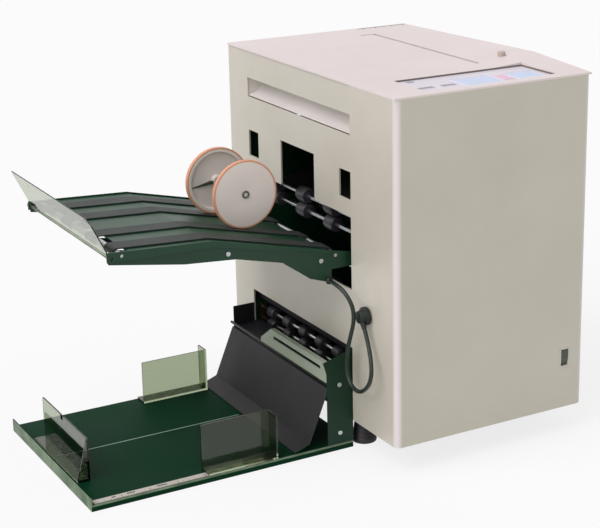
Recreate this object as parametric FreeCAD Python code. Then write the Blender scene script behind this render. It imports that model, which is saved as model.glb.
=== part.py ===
import FreeCAD, Part
import math
import os
from FreeCAD import Vector

os.makedirs("parts", exist_ok=True)

# A paper folding machine on feet, in millimetres. It is drawn with x = 0 on the delivery face,
# y = 0 on the operator's face and z = 0 on the table, and is saved with its origin under the middle
# of its bounding box. Sheets drop in through the slot in the top. A knife pushes them between two
# rollers that fold them, and they leave on the belt tray. Flat sheets leave below, on the low tray.
# The fold works, the booklet path and the belt tray keep with the top: their rises start at a level
# that lies works_depth under it. Rises of the sheet path and of the base start at the underside.

# Cabinet
cabinet_width = 390.0
cabinet_depth = 600.0
cabinet_height = 600.0
foot_height = 50.0
works_depth = 600.0
cover_sheet = 3.0
corner_radius = 12.0
front_cover_depth = 144.0
side_step = 2.0
seam = 0.5
edge_fold = 8.0
cut_over = 5.0
slide_gap = 0.3
shaft_gap = 0.05

base_z = foot_height
top_z = foot_height + cabinet_height
cover_top_z = top_z - cover_sheet
panel_outer_x = side_step
panel_inner_x = side_step + cover_sheet
right_inner_x = cabinet_width - cover_sheet
rear_inner_y = cabinet_depth - cover_sheet
side_start_y = front_cover_depth + seam

# Openings in the delivery panel
opening_near_y = 148.0
opening_far_margin = 76.0
grip_low_rise = 511.0
grip_high_rise = 547.0
window_low_rise = 399.0
window_high_rise = 448.0
window_width = 38.0
centre_window_width = 124.0
centre_window_high_rise = 453.0
delivery_low_rise = 240.0
delivery_high_rise = 370.0
sheet_opening_low_rise = 50.0
sheet_opening_high_rise = 134.0

# Hand grip pan behind the panel
grip_depth = 34.0
grip_sheet = 2.0
grip_pocket = 8.0
grip_line = 3.5
grip_margin = 1.0
grip_belly_share = 0.72
grip_belly_rise_share = 0.3

# Base pan and feet
pan_sheet = 3.0
pan_rim = 24.0
foot_top_radius = 15.0
foot_bottom_radius = 23.0
foot_edge = 3.0
foot_inset_x = 31.0
foot_front_y = 160.0
foot_rear_inset = 40.0

# Top deck, slot and lid
slot_inset = 117.0
slot_width = 7.0
slot_near_y = 171.0
slot_far_margin = 72.0
slot_end_reach = 26.0
slot_end_width = 4.0
lid_front_y = 165.0
lid_rear_gap = 5.0
rear_strip = 6.0
crown_rise = 10.0
lid_rib_depth = 5.0
lid_rib_width = 2.0
lid_rib_inset = 12.0
lid_rib_count = 5
hinge_barrel_radius = 3.5
hinge_pin_radius = 2.0
hinge_barrel_length = 24.0
hinge_ear = 3.0
hinge_margin = 22.0
hinge_set_back = 4.0
hinge_slot_reach = 9.0
latch_radius = 7.0
latch_proud = 8.0
latch_length = 12.0
latch_travel = 2.5
latch_set_back = 21.0
latch_head = 1.5

# Control panel, its keys and the power switch
console_left_x = 72.0
console_right_margin = 58.0
console_near_y = 22.0
console_far_y = 122.0
console_sheet = 3.0
console_lap = 3.0
console_tub_depth = 17.0
window_sheet = 0.6
window_shares = [(0.338, 0.627, 0.08, 0.64), (0.738, 0.946, 0.1, 0.6)]
key_shares = [(0.062, 0.115, 0.815, 0.905), (0.02, 0.135, 0.285, 0.375), (0.192, 0.3, 0.285, 0.375),
              (0.644, 0.721, 0.18, 0.52)]
key_height = 3.0
key_proud = 1.0
key_travel = 0.7
switch_inset = 41.5
switch_rise = 94.0
switch_width = 15.0
switch_height = 29.0
switch_bezel = 3.0
switch_bezel_proud = 1.0
switch_depth = 14.0
rocker_slope = 2.0
rocker_pivot_depth = 6.0
rocker_back_share = 0.55
rocker_pin_radius = 1.5

# Frame plates that carry the folding works
near_plate_y = 132.0
far_plate_margin = 60.0
frame_plate = 4.0
frame_top_drop = 15.0
frame_edge_margin = 40.0
tie_radius = 6.0
tie_inset = 45.0
tie_left_x = 62.0
tie_high_rise = 556.0
tie_low_rise = 60.0
tie_middle_x = 150.0
tie_middle_rise = 285.0
hanger_x = 17.0
hanger_radius = 5.0

# Channel under the slot and the guides that lead from it
guide_sheet = 1.5
channel_width = 13.0
knife_gap = 10.0
gate_gap_height = 18.0
turn_inner_radius = 60.0
run_end_x = 52.0
fold_guide_spread = 12.0
exit_guide_spread = 6.0
guide_end_clear = 5.0
hood_front_x = 8.0
hood_knee_x = 16.0
hood_back_x = 46.0
hood_high_rise = 150.0
hood_knee_rise = 114.0
hood_back_rise = 106.0
gate_thickness = 9.0
gate_finger_width = 12.0
gate_finger_count = 5
gate_bar_width = 7.0
gate_reach = 7.0

# Fold rollers, their gears and the drive
fold_rise = 347.0
fold_set_back = 45.0
fold_radius = 25.0
fold_nip = 0.6
fold_journal_radius = 8.0
fold_end_clear = 18.0
roller_neck_share = 0.5
gear_teeth = 23
gear_width = 12.0
gear_clear = 4.0
pressure_angle = math.radians(20)
gear_tip_share = 0.9
gear_root_share = 1.2
backlash_share = 0.09
pulley_share = 0.88
pulley_width = 9.0
pulley_clear = 7.0
pulley_rim = 1.5
pulley_rim_width = 1.0
flank_points = 3
belt_thickness = 2.0
bush_wall = 3.0
bush_proud = 1.0
motor_x = 135.0
motor_rise = 120.0
motor_radius = 32.0
motor_length = 78.0
motor_pulley_radius = 10.0
motor_shaft_radius = 4.0

# Roller pairs that deliver booklets above and flat sheets below
booklet_rise = 333.0
booklet_x = 45.0
booklet_radius = 14.0
booklet_tyre_count = 4
booklet_tyre_width = 30.0
sheet_rise = 76.5
sheet_x = 30.0
sheet_radius = 12.0
sheet_tyre_count = 6
sheet_tyre_width = 24.0
exit_journal_radius = 4.0
exit_nip = 0.6
tyre_margin = 34.0

# Fold knife
knife_tip_clear = 3.0
knife_length = 52.0
knife_thickness = 1.5
knife_bevel = 4.0
knife_margin = 50.0
knife_tooth_count = 6
knife_notch = 5.0
knife_notch_share = 0.35
carriage_depth = 12.0
carriage_height = 18.0
carriage_clear = 3.0
rail_radius = 5.0
rail_inset = 14.0
rail_end_clear = 1.0
rail_block = 6.0
rail_block_height = 22.0
rack_length = 58.0
rack_width = 12.0
rack_inset = 29.0
rack_back = 4.0
pinion_teeth = 16
pinion_module = 1.5
pinion_width = 10.0
pinion_shaft_radius = 4.0
pinion_set_back = 49.0
small_motor_radius = 17.0
small_motor_length = 38.0

# Chute between the lower opening and the low tray
chute_sheet = 2.0
chute_foot_reach = 49.0
chute_lip_reach = 56.0
chute_shoulder_rise = 94.0
chute_lip_rise = 116.0
chute_top_rise = 131.0
chute_far_reach = 42.0
chute_far_rise = 106.0
chute_guide_start_rise = 71.0
chute_guide_knee_x = -46.0
chute_guide_knee_rise = 66.0
chute_guide_heel_x = -84.0
chute_guide_heel_rise = -26.0
chute_guide_foot_x = -114.0
crossbar_x = -50.0
crossbar_low_rise = 76.0
crossbar_high_rise = 114.0
crossbar_far_margin = 128.0
crossbar_flange = 9.0
crossbar_corner_y = 40.0
crossbar_corner_z = 28.0
crossbar_slot_low_rise = 97.5
crossbar_slot_high_rise = 104.0
crossbar_slot_near_margin = 20.0
crossbar_slot_far_margin = 50.0
exit_rod_radius = 2.5

# Low tray, its side guides and end stop
tray_reach = 490.0
tray_near_margin = 3.0
tray_far_margin = 4.0
tray_height = 11.0
tray_sheet = 2.0
tray_lip = 12.0
tray_groove_shift = 20.0
tray_groove_width = 4.0
tray_groove_depth = 0.8
clear_sheet = 3.0
guide_length = 131.0
near_guide_left_x = -279.0
far_guide_left_x = -248.0
guide_height = 81.0
guide_foot = 31.0
guide_inset = 30.0
stop_x = -459.0
stop_near_reach = 100.0
stop_far_reach = 110.0
stop_height = 76.0
stop_foot = 19.0
stop_notch_shift = 15.0
stop_notch_width = 12.0
stop_notch_depth = 8.0

# Belt tray
belt_tray_sheet = 2.0
belt_tray_margin = 8.0
belt_tray_start_x = -27.0
belt_tray_start_rise = 313.0
belt_tray_bend_x = -252.0
belt_tray_bend_rise = 367.0
belt_tray_end_x = -436.0
belt_tray_end_rise = 377.0
belt_tray_underside = [(-433.0, 357.0), (-303.0, 336.0), (-211.0, 329.0), (-125.0, 308.0), (-74.0, 271.0)]
belt_tray_heel_x = -32.0
belt_tray_heel_rise = 257.0
hook_reach = 24.0
hook_low_rise = 281.0
hook_high_rise = 302.0
bed_end_clear = 14.0
rim_start_depth = 5.0
rim_bend_depth = 9.5
rim_end_depth = 16.0
rim_proud = 3.0
belt_width = 36.0
belt_roller_radius = 5.0
belt_journal_radius = 3.0
belt_first_roller_x = -24.0
belt_last_roller_x = -410.0
belt_inset = 46.0
belt_shift = 6.0
inner_pitch_share = 0.403
end_plate_height = 76.0
end_plate_lean = math.radians(26)
end_plate_pivot_x = -429.0
end_plate_pivot_drop = 10.0
end_plate_chamfer_y = 18.0
end_plate_chamfer_z = 12.0
end_plate_knob_radius = 6.0
end_plate_knob_depth = 7.0
tray_motor_radius = 13.0
tray_motor_length = 60.0
tray_motor_x = -82.0
tray_motor_rise = 293.0

# Press roller: two discs with rubber tyres on one axle
press_x = -133.0
press_radius = 60.0
press_tyre_thickness = 3.0
press_tyre_width = 8.0
press_disc_rim = 6.0
press_disc_web = 2.0
press_hub_radius = 9.0
press_axle_radius = 4.0
press_axle_flare_radius = 7.0
press_axle_flare_length = 14.0
press_cap_width = 2.5

# Cable from the belt tray to the socket on the front cover
cable_radius = 3.6
gland_radius = 7.0
gland_length = 6.0
plug_radius = 11.0
plug_length = 19.0
plug_ring_radius = 16.0
plug_ring_length = 10.0
plug_edge = 1.5
plug_neck_radius = 6.0
plug_neck_length = 21.0
plug_y = 91.0
plug_rise = 211.0
plug_neck_x = -13.0
plug_neck_lean = math.radians(30)
cable_run_share = 0.45
cable_route = [
    (-38.0, 150.0, 262.0),
    (-37.0, 130.0, 261.0),
    (-32.0, 109.0, 251.0),
    (-27.0, 94.0, 231.0),
    (-24.0, 96.0, 203.0),
    (-24.0, 108.0, 174.0),
    (-24.0, 119.0, 146.0),
    (-24.0, 124.0, 118.0),
    (-24.0, 122.0, 98.0),
    (-24.0, 107.0, 82.0),
    (-24.0, 84.0, 79.0),
    (-24.0, 62.0, 90.0),
    (-23.0, 46.0, 109.0),
    (-21.0, 43.0, 134.0),
]

# Fasteners, inlet and electrics
screw_radius = 4.5
screw_head = 1.5
screw_sides = 6
inlet_x = 62.0
inlet_rise = 48.0
inlet_width = 48.0
inlet_height = 28.0
inlet_depth = 34.0
inlet_wall = 3.0
inlet_pin_count = 3
louvre_rows = 9
louvre_columns = 2
louvre_gap = 50.0
louvre_width = 4.0
louvre_pitch = 14.0
louvre_low_rise = 330.0
louvre_margin = 60.0
supply_width = 150.0
supply_depth = 80.0
supply_height = 85.0
supply_x = 30.0
supply_y = 22.0
board_width = 155.0
board_right_margin = 45.0
board_low_rise = 425.0
board_high_rise = 550.0
board_sheet = 1.6
board_stand_off = 6.0
board_part_height = 12.0
board_part_count = 3

works_z = top_z - works_depth
fold_z = works_z + fold_rise
booklet_z = works_z + booklet_rise
sheet_z = base_z + sheet_rise
opening_far_y = cabinet_depth - opening_far_margin
path_centre_y = (opening_near_y + opening_far_y) / 2
far_plate_y = cabinet_depth - far_plate_margin
slot_start_x = cabinet_width - slot_inset
slot_far_y = cabinet_depth - slot_far_margin
console_right_x = cabinet_width - console_right_margin
switch_x = cabinet_width - switch_inset
fold_x = slot_start_x - fold_set_back
channel_left_x = slot_start_x + slot_width / 2 - channel_width / 2
channel_right_x = channel_left_x + channel_width
knife_tip_x = channel_right_x + knife_tip_clear
knife_near_y = near_plate_y + knife_margin
knife_far_y = far_plate_y - knife_margin
rail_end_x = right_inner_x - edge_fold - rail_end_clear
slot_end_x = slot_start_x + slot_width
lid_left_x = slot_end_x + slide_gap
floor_z = base_z + pan_sheet
tray_top_z = tray_height
gate_low_z = sheet_z + turn_inner_radius + channel_width / 2
gate_high_z = gate_low_z + gate_gap_height
crossbar_far_y = opening_far_y - crossbar_far_margin
tray_near_y = opening_near_y - tray_near_margin
tray_far_y = opening_far_y + tray_far_margin
belt_tray_near_y = opening_near_y + belt_tray_margin
belt_tray_far_y = opening_far_y - belt_tray_margin
belt_tray_start_z = works_z + belt_tray_start_rise
belt_tray_bend_z = works_z + belt_tray_bend_rise
belt_tray_end_z = works_z + belt_tray_end_rise
hook_low_z = works_z + hook_low_rise
belt_middle_y = path_centre_y - belt_shift
outer_belt_pitch = belt_tray_far_y - belt_tray_near_y - 2 * belt_inset
inner_belt_pitch = outer_belt_pitch * inner_pitch_share


def box(x0, x1, y0, y1, z0, z1):
    """A block between two corners."""
    return Part.makeBox(x1 - x0, y1 - y0, z1 - z0, Vector(x0, y0, z0))


def rod_x(y, z, radius, x0, x1):
    """A round bar along X."""
    return Part.makeCylinder(radius, x1 - x0, Vector(x0, y, z), Vector(1, 0, 0))


def rod_y(x, z, radius, y0, y1):
    """A round bar along Y."""
    return Part.makeCylinder(radius, y1 - y0, Vector(x, y0, z), Vector(0, 1, 0))


def rod_z(x, y, radius, z0, z1):
    """A round bar along Z."""
    return Part.makeCylinder(radius, z1 - z0, Vector(x, y, z0), Vector(0, 0, 1))


def prism(corners, along):
    """A flat outline carried along a direction."""
    return Part.Face(Part.makePolygon(corners + corners[:1])).extrude(along)


def prism_y(outline, y0, y1):
    """An outline of (x, z) points carried from y0 to y1."""
    return prism([Vector(x, y0, z) for x, z in outline], Vector(0, y1 - y0, 0))


def prism_x(outline, x0, x1):
    """An outline of (y, z) points carried from x0 to x1."""
    return prism([Vector(x0, y, z) for y, z in outline], Vector(x1 - x0, 0, 0))


def join(solids):
    """Solids made into one piece."""
    return solids[0].multiFuse(solids[1:]).removeSplitter()


def evenly(first, last, count):
    """Places spread evenly from first to last."""
    step = (last - first) / (count - 1)
    return [first + step * i for i in range(count)]


def bent_strip(points, thickness, y0, y1):
    """A thin sheet that follows (x, z) points, thickened downwards."""
    under = [(x, z - thickness) for x, z in reversed(points)]
    return prism_y(points + under, y0, y1)


def loop_wire(circles, offset, y):
    """The closed line of a belt round circles (x, z, radius), set off from them."""
    count = len(circles)
    tangents = []
    for i in range(count):
        x0, z0, r0 = circles[i]
        x1, z1, r1 = circles[(i + 1) % count]
        reach = math.hypot(x1 - x0, z1 - z0)
        dx = (x1 - x0) / reach
        dz = (z1 - z0) / reach
        lean = (r0 - r1) / reach
        side = math.sqrt(1 - lean * lean)
        nx = dx * lean + dz * side
        nz = dz * lean - dx * side
        leave = (x0 + (r0 + offset) * nx, z0 + (r0 + offset) * nz)
        meet = (x1 + (r1 + offset) * nx, z1 + (r1 + offset) * nz)
        tangents.append((leave, meet, nx, nz))
    edges = []
    for i in range(count):
        leave, meet, nx, nz = tangents[i]
        after, _, mx, mz = tangents[(i + 1) % count]
        x, z, radius = circles[(i + 1) % count]
        spread = math.hypot(nx + mx, nz + mz)
        middle_x = x + (radius + offset) * (nx + mx) / spread
        middle_z = z + (radius + offset) * (nz + mz) / spread
        start = Vector(meet[0], y, meet[1])
        middle = Vector(middle_x, y, middle_z)
        end = Vector(after[0], y, after[1])
        edges.append(Part.LineSegment(Vector(leave[0], y, leave[1]), start).toShape())
        edges.append(Part.Arc(start, middle, end).toShape())
    return Part.Wire(Part.__sortEdges__(edges))


def belt_loop(circles, y0, y1):
    """A flat belt round circles, with its running gap."""
    outer = Part.Face(loop_wire(circles, slide_gap + belt_thickness, y0))
    inner = Part.Face(loop_wire(circles, slide_gap, y0))
    return outer.cut(inner).extrude(Vector(0, y1 - y0, 0))


def tooth_angle(radius, pitch_radius, teeth):
    """Half the angle of an involute tooth at a radius."""
    base_radius = pitch_radius * math.cos(pressure_angle)
    roll = math.acos(min(1, base_radius / radius))
    half = math.pi / teeth / 2 * (1 - backlash_share)
    return half + (math.tan(pressure_angle) - pressure_angle) - (math.tan(roll) - roll)


def gear(x, z, teeth, module, y0, y1, turn):
    """A spur gear about Y with involute flanks. At turn 0 a tooth points along +Z."""
    pitch_radius = teeth * module / 2
    base_radius = pitch_radius * math.cos(pressure_angle)
    root = pitch_radius - gear_root_share * module
    tip = pitch_radius + gear_tip_share * module
    radii = [root] + evenly(max(base_radius, root), tip, flank_points)
    corners = []
    for i in range(teeth):
        middle = turn + 2 * math.pi * i / teeth
        rising = [(r, middle - tooth_angle(max(r, base_radius), pitch_radius, teeth)) for r in radii]
        falling = [(r, 2 * middle - angle) for r, angle in reversed(rising)]
        for r, angle in rising + falling:
            corners.append((x + r * math.sin(angle), z + r * math.cos(angle)))
    return prism_y(corners, y0, y1)


def front_cover():
    """The deep shell that wraps the front and both front corners."""
    outer = box(0, cabinet_width, 0, front_cover_depth, base_z, cover_top_z)
    corners = [e for e in outer.Edges if upright_at(e, 0)]
    outer = outer.makeFillet(corner_radius, corners)
    inner = box(cover_sheet, right_inner_x, cover_sheet, front_cover_depth + cut_over,
                base_z - cut_over, cover_top_z + cut_over)
    corners = [e for e in inner.Edges if upright_at(e, cover_sheet)]
    inner = inner.makeFillet(corner_radius - cover_sheet, corners)
    shell = outer.cut(inner)
    fold_low = floor_z + pan_rim + cover_sheet
    fold_front = front_cover_depth - cover_sheet
    left_fold = box(cover_sheet, cover_sheet + edge_fold, fold_front, front_cover_depth,
                    fold_low, cover_top_z)
    right_fold = box(right_inner_x - edge_fold, right_inner_x, fold_front, front_cover_depth,
                     fold_low, cover_top_z)
    shell = join([shell, left_fold, right_fold])
    half_width = switch_width / 2 + switch_bezel / 2
    half_height = switch_height / 2 + switch_bezel / 2
    middle = base_z + switch_rise
    hole = box(switch_x - half_width, switch_x + half_width, -cut_over, cover_sheet + cut_over,
               middle - half_height, middle + half_height)
    return shell.cut(hole)


def upright_at(edge, y):
    """Whether an edge stands upright on the line y."""
    first = edge.Vertexes[0].Point
    last = edge.Vertexes[-1].Point
    return abs(first.x - last.x) < seam and abs(first.y - last.y) < seam and abs(first.y - y) < seam


def delivery_panel():
    """The panel on the delivery side, with its windows and the two delivery openings."""
    panel = box(panel_outer_x, panel_inner_x, side_start_y, cabinet_depth, base_z, cover_top_z)

    def opening(y0, y1, low, high):
        return box(panel_outer_x - cut_over, panel_inner_x + cut_over, y0, y1, low, high)

    edge = side_start_y - cut_over
    half = centre_window_width / 2
    window_low = works_z + window_low_rise
    window_high = works_z + window_high_rise
    cuts = [
        opening(opening_near_y, opening_far_y, works_z + grip_low_rise, works_z + grip_high_rise),
        opening(edge, opening_near_y + window_width, window_low, window_high),
        opening(opening_far_y - window_width, opening_far_y, window_low, window_high),
        opening(path_centre_y - half, path_centre_y + half, works_z + delivery_low_rise,
                works_z + centre_window_high_rise),
        opening(edge, opening_far_y, works_z + delivery_low_rise, works_z + delivery_high_rise),
        opening(edge, opening_far_y, base_z + sheet_opening_low_rise, base_z + sheet_opening_high_rise),
    ]
    return panel.cut(cuts)


def grip_pan():
    """The scooped pan behind the long hand grip, deep at the top and out at the face below."""
    near = opening_near_y - grip_margin
    far = opening_far_y + grip_margin
    face = panel_inner_x
    low = works_z + grip_low_rise + grip_line
    high = works_z + grip_high_rise + grip_pocket

    def scoop(wall, y0, y1):
        back = face + grip_depth + wall
        front = Vector(face, y0, low - wall)
        deep = Vector(back, y0, high + wall)
        belly = Vector(face + (grip_depth + wall) * grip_belly_share, y0,
                       low - wall + (high - low) * grip_belly_rise_share)
        top = Vector(face, y0, high + wall)
        edges = [Part.Arc(front, belly, deep).toShape(), Part.makeLine(deep, top), Part.makeLine(top, front)]
        return Part.Face(Part.Wire(edges)).extrude(Vector(0, y1 - y0, 0))

    return scoop(grip_sheet, near - grip_sheet, far + grip_sheet).cut(scoop(0, near, far))


def rear_cover():
    """The rear sheet with rows of louvre slots and the hole for the mains inlet."""
    sheet = box(panel_inner_x, cabinet_width, rear_inner_y, cabinet_depth, base_z, cover_top_z)
    slots = []
    spread = (cabinet_width - 2 * louvre_margin + louvre_gap) / louvre_columns
    for column in range(louvre_columns):
        x0 = louvre_margin + spread * column
        for row in range(louvre_rows):
            low = works_z + louvre_low_rise + louvre_pitch * row
            slots.append(box(x0, x0 + spread - louvre_gap, rear_inner_y - cut_over, cabinet_depth + cut_over,
                             low, low + louvre_width))
    slots.append(box(inlet_x, inlet_x + inlet_width, rear_inner_y - cut_over, cabinet_depth + cut_over,
                     base_z + inlet_rise, base_z + inlet_rise + inlet_height))
    return sheet.cut(slots)


def side_cover():
    """The plain panel away from the trays, with a notch that clears the lid's corner as it swings."""
    panel = box(right_inner_x, cabinet_width, side_start_y, rear_inner_y, base_z, cover_top_z)
    axis_y, axis_z = lid_hinge_axis()
    reach = math.hypot(hinge_set_back, top_z - axis_z) + slide_gap
    notch = box(right_inner_x - cut_over, cabinet_width + cut_over, axis_y - hinge_barrel_radius,
                axis_y + reach, axis_z - hinge_barrel_radius, cover_top_z + cut_over)
    return panel.cut(notch)


def crowned(x0, x1, y0, y1, low, high, rises):
    """A plate whose top is a ruled face. Rises are at its left and right, at the low y and the high y."""
    near_left, near_right, far_left, far_right = rises
    top = [Vector(x0, y0, high + near_left), Vector(x1, y0, high + near_right),
           Vector(x1, y1, high + far_right), Vector(x0, y1, high + far_left)]
    under = [Vector(p.x, p.y, low) for p in top]
    faces = [Part.Face(Part.makePolygon(under + under[:1]))]
    for i in range(4):
        k = (i + 1) % 4
        side = [under[i], under[k], top[k], top[i]]
        faces.append(Part.Face(Part.makePolygon(side + side[:1])))
    near_edge = Part.makeLine(top[0], top[1])
    far_edge = Part.makeLine(top[3], top[2])
    faces.append(Part.makeRuledSurface(near_edge, far_edge))
    shell = Part.Shell(faces)
    solid = Part.Solid(shell)
    if solid.Volume < 0:
        solid.reverse()
    return solid


def top_cover():
    """The top deck, with the slot, the well of the control panel and the bay of the lid."""
    deck = box(0, cabinet_width, 0, cabinet_depth, cover_top_z, top_z)
    low = cover_top_z + cover_sheet / 2
    crown = crowned(slot_start_x, cabinet_width, 0, lid_front_y, low, top_z, (0, 0, 0, crown_rise))
    deck = join([deck, crown])
    roof = top_z + crown_rise + cut_over
    below = cover_top_z - cut_over
    cuts = [
        box(slot_start_x, slot_end_x + cut_over, slot_near_y, slot_far_y, below, roof),
        box(slot_start_x - slot_end_reach, slot_end_x, slot_far_y - slot_end_width, slot_far_y, below, roof),
        box(slot_end_x, cabinet_width + cut_over, lid_front_y, cabinet_depth - rear_strip, below, roof),
        box(console_left_x, console_right_x, console_near_y, console_far_y, below, roof),
    ]
    return deck.cut(cuts)


def lid_hinge_axis():
    """Where the lid turns, as (y, z)."""
    y = cabinet_depth - rear_strip - lid_rear_gap - hinge_set_back
    z = cover_top_z + slide_gap - hinge_barrel_radius
    return y, z


def hinge_places():
    """The middle x of each hinge barrel."""
    return [lid_left_x + hinge_margin, cabinet_width - cover_sheet - hinge_margin]


def top_lid():
    """The lid beside the slot: a crowned plate with stiffening ribs and two hinge barrels."""
    y0 = lid_front_y + seam
    y1 = cabinet_depth - rear_strip - lid_rear_gap
    low = cover_top_z + slide_gap
    plate = crowned(lid_left_x, cabinet_width, y0, y1, low, top_z, (0, crown_rise, 0, 0))
    axis_y, axis_z = lid_hinge_axis()
    pieces = [plate]
    left = lid_left_x + lid_rib_inset
    right = right_inner_x - lid_rib_inset
    rib_front = y0 + latch_set_back + 2 * latch_radius
    rib_rear = axis_y - 2 * hinge_barrel_radius
    for x in (left, right):
        pieces.append(box(x, x + lid_rib_width, rib_front, rib_rear, low - lid_rib_depth, low + seam))
    for y in evenly(rib_front, rib_rear - lid_rib_width, lid_rib_count):
        pieces.append(box(left, right + lid_rib_width, y, y + lid_rib_width, low - lid_rib_depth, low + seam))
    for x in hinge_places():
        x0 = x - hinge_barrel_length / 2
        x1 = x + hinge_barrel_length / 2
        pieces.append(rod_x(axis_y, axis_z, hinge_barrel_radius, x0, x1))
        pieces.append(box(x0, x1, axis_y - hinge_barrel_radius, axis_y, axis_z, low + seam))
    lid = join(pieces)
    bores = [rod_x(axis_y, axis_z, hinge_pin_radius + shaft_gap, lid_left_x, cabinet_width)]
    for x in hinge_places():
        reach = hinge_barrel_length / 2 + slide_gap
        for x0 in (x - reach - hinge_ear, x + reach):
            bores.append(box(x0 - slide_gap, x0 + hinge_ear + slide_gap, y1 - hinge_slot_reach, y1 + cut_over,
                             low - cut_over, top_z + crown_rise))
    x, y = latch_place()
    bores.append(rod_z(x, y, latch_radius + slide_gap, low - cut_over, top_z + crown_rise + cut_over))
    return lid.cut(bores)


def latch_place():
    """Where the latch button stands in the lid."""
    return (lid_left_x + cabinet_width) / 2, lid_front_y + latch_set_back


def lid_latch():
    """The round push button of the lid, with a collar under the lid and a bevelled head."""
    x, y = latch_place()
    collar_top = cover_top_z - latch_travel / 2
    high = top_z + crown_rise / 2 + latch_proud
    stem = rod_z(x, y, latch_radius, collar_top - latch_length, high)
    stem = stem.makeChamfer(latch_head, [e for e in stem.Edges if e.BoundBox.ZMin > top_z])
    collar = rod_z(x, y, latch_radius + latch_head, collar_top - latch_length, collar_top)
    return join([stem, collar])


def lid_hinge_brackets():
    """Two brackets on the rear cover, each with ears and a pin for a barrel of the lid."""
    axis_y, axis_z = lid_hinge_axis()
    brackets = []
    for x in hinge_places():
        reach = hinge_barrel_length / 2 + slide_gap
        pieces = [rod_x(axis_y, axis_z, hinge_pin_radius, x - reach - hinge_ear, x + reach + hinge_ear)]
        low = axis_z - 3 * hinge_barrel_radius
        for x0 in (x - reach - hinge_ear, x + reach):
            pieces.append(box(x0, x0 + hinge_ear, axis_y - hinge_barrel_radius, rear_inner_y,
                              low, axis_z + hinge_barrel_radius - slide_gap))
        pieces.append(box(x - reach - hinge_ear, x + reach + hinge_ear, rear_inner_y - hinge_ear,
                          rear_inner_y, low, axis_z - 2 * hinge_barrel_radius))
        brackets.append(join(pieces))
    return brackets


def base_pan():
    """The folded pan that the works and the covers stand on."""
    outer = box(panel_inner_x, right_inner_x, cover_sheet, rear_inner_y, base_z, floor_z + pan_rim)
    outer = outer.makeFillet(corner_radius, [e for e in outer.Edges if upright_at(e, cover_sheet)])
    front = cover_sheet + pan_sheet
    inner = box(panel_inner_x + pan_sheet, right_inner_x - pan_sheet, front,
                rear_inner_y - pan_sheet, floor_z, floor_z + pan_rim + cut_over)
    inner = inner.makeFillet(corner_radius - pan_sheet, [e for e in inner.Edges if upright_at(e, front)])
    return outer.cut(inner)


def feet():
    """Four rubber feet, wider at the floor."""
    solids = []
    for x in (foot_inset_x, cabinet_width - foot_inset_x):
        for y in (foot_front_y, cabinet_depth - foot_rear_inset):
            cone = Part.makeCone(foot_bottom_radius, foot_top_radius, foot_height, Vector(x, y, 0))
            low_edge = [e for e in cone.Edges if e.BoundBox.ZMax < seam]
            solids.append(cone.makeChamfer(foot_edge, low_edge))
    return solids


def control_panel():
    """The control panel: a plate in the well, with a tub under it and a pocket for each key."""
    plate = box(console_left_x - console_lap, console_right_x + console_lap, console_near_y - console_lap,
                console_far_y + console_lap, cover_top_z - console_sheet, cover_top_z)
    tub = box(console_left_x, console_right_x, console_near_y, console_far_y,
              cover_top_z - console_sheet - console_tub_depth, cover_top_z - console_sheet)
    panel = join([plate, tub])
    pockets = []
    for shares in key_shares:
        x0, x1, y0, y1 = console_spot(shares)
        pockets.append(box(x0 - slide_gap, x1 + slide_gap, y0 - slide_gap, y1 + slide_gap,
                           cover_top_z - key_height - key_travel, cover_top_z + cut_over))
    return panel.cut(pockets)


def console_spot(shares):
    """The edges (x0, x1, y0, y1) of a window or key, from its shares of the control panel."""
    width = console_right_x - console_left_x
    depth = console_far_y - console_near_y
    left, right, near, far = shares
    return (console_left_x + width * left, console_left_x + width * right,
            console_near_y + depth * near, console_near_y + depth * far)


def display_windows():
    """Two thin tinted windows that lie on the control panel."""
    return [box(*console_spot(shares), cover_top_z, cover_top_z + window_sheet) for shares in window_shares]


def key(shares):
    """One push key, with bevelled edges on top."""
    top = cover_top_z + key_proud
    body = box(*console_spot(shares), top - key_height, top)
    rim = [e for e in body.Edges if e.BoundBox.ZMin > top - seam]
    return body.makeChamfer(key_proud / 2, rim)


def switch_frame():
    """The frame of the power switch, with a bezel round the rocker."""
    middle = base_z + switch_rise
    half_width = switch_width / 2
    half_height = switch_height / 2
    rim = switch_bezel / 2
    body = box(switch_x - half_width - rim, switch_x + half_width + rim, 0, switch_depth,
               middle - half_height - rim, middle + half_height + rim)
    bezel = box(switch_x - half_width - switch_bezel, switch_x + half_width + switch_bezel,
                -switch_bezel_proud, 0, middle - half_height - switch_bezel,
                middle + half_height + switch_bezel)
    well = box(switch_x - half_width - slide_gap, switch_x + half_width + slide_gap, -cut_over,
               switch_depth - rim, middle - half_height - 3 * slide_gap, middle + half_height + 3 * slide_gap)
    reach = half_width + rim + cut_over
    bore = rod_x(rocker_pivot_depth, middle, rocker_pin_radius + shaft_gap, switch_x - reach, switch_x + reach)
    return join([body, bezel]).cut([well, bore])


def switch_rocker():
    """The rocker of the power switch, on its pins, resting with its lower end pressed in."""
    middle = base_z + switch_rise
    half = switch_height / 2
    back = half * rocker_back_share
    ridge = -switch_bezel_proud
    depth = rocker_pivot_depth + rocker_slope
    outline = [(ridge + rocker_slope, middle - half), (ridge, middle), (ridge + rocker_slope, middle + half),
               (depth, middle + back), (depth, middle - back)]
    half_width = switch_width / 2
    rim = switch_bezel / 2
    rocker = prism_x(outline, switch_x - half_width, switch_x + half_width)
    pins = rod_x(rocker_pivot_depth, middle, rocker_pin_radius, switch_x - half_width - rim,
                 switch_x + half_width + rim)
    rocker = join([rocker, pins])
    rocker.rotate(Vector(0, rocker_pivot_depth, middle), Vector(1, 0, 0), rocker_angle())
    return rocker


def rocker_angle():
    """The angle in degrees between the middle and either end of the rocker's throw."""
    return math.degrees(math.atan(rocker_slope / (switch_height / 2)))


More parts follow.
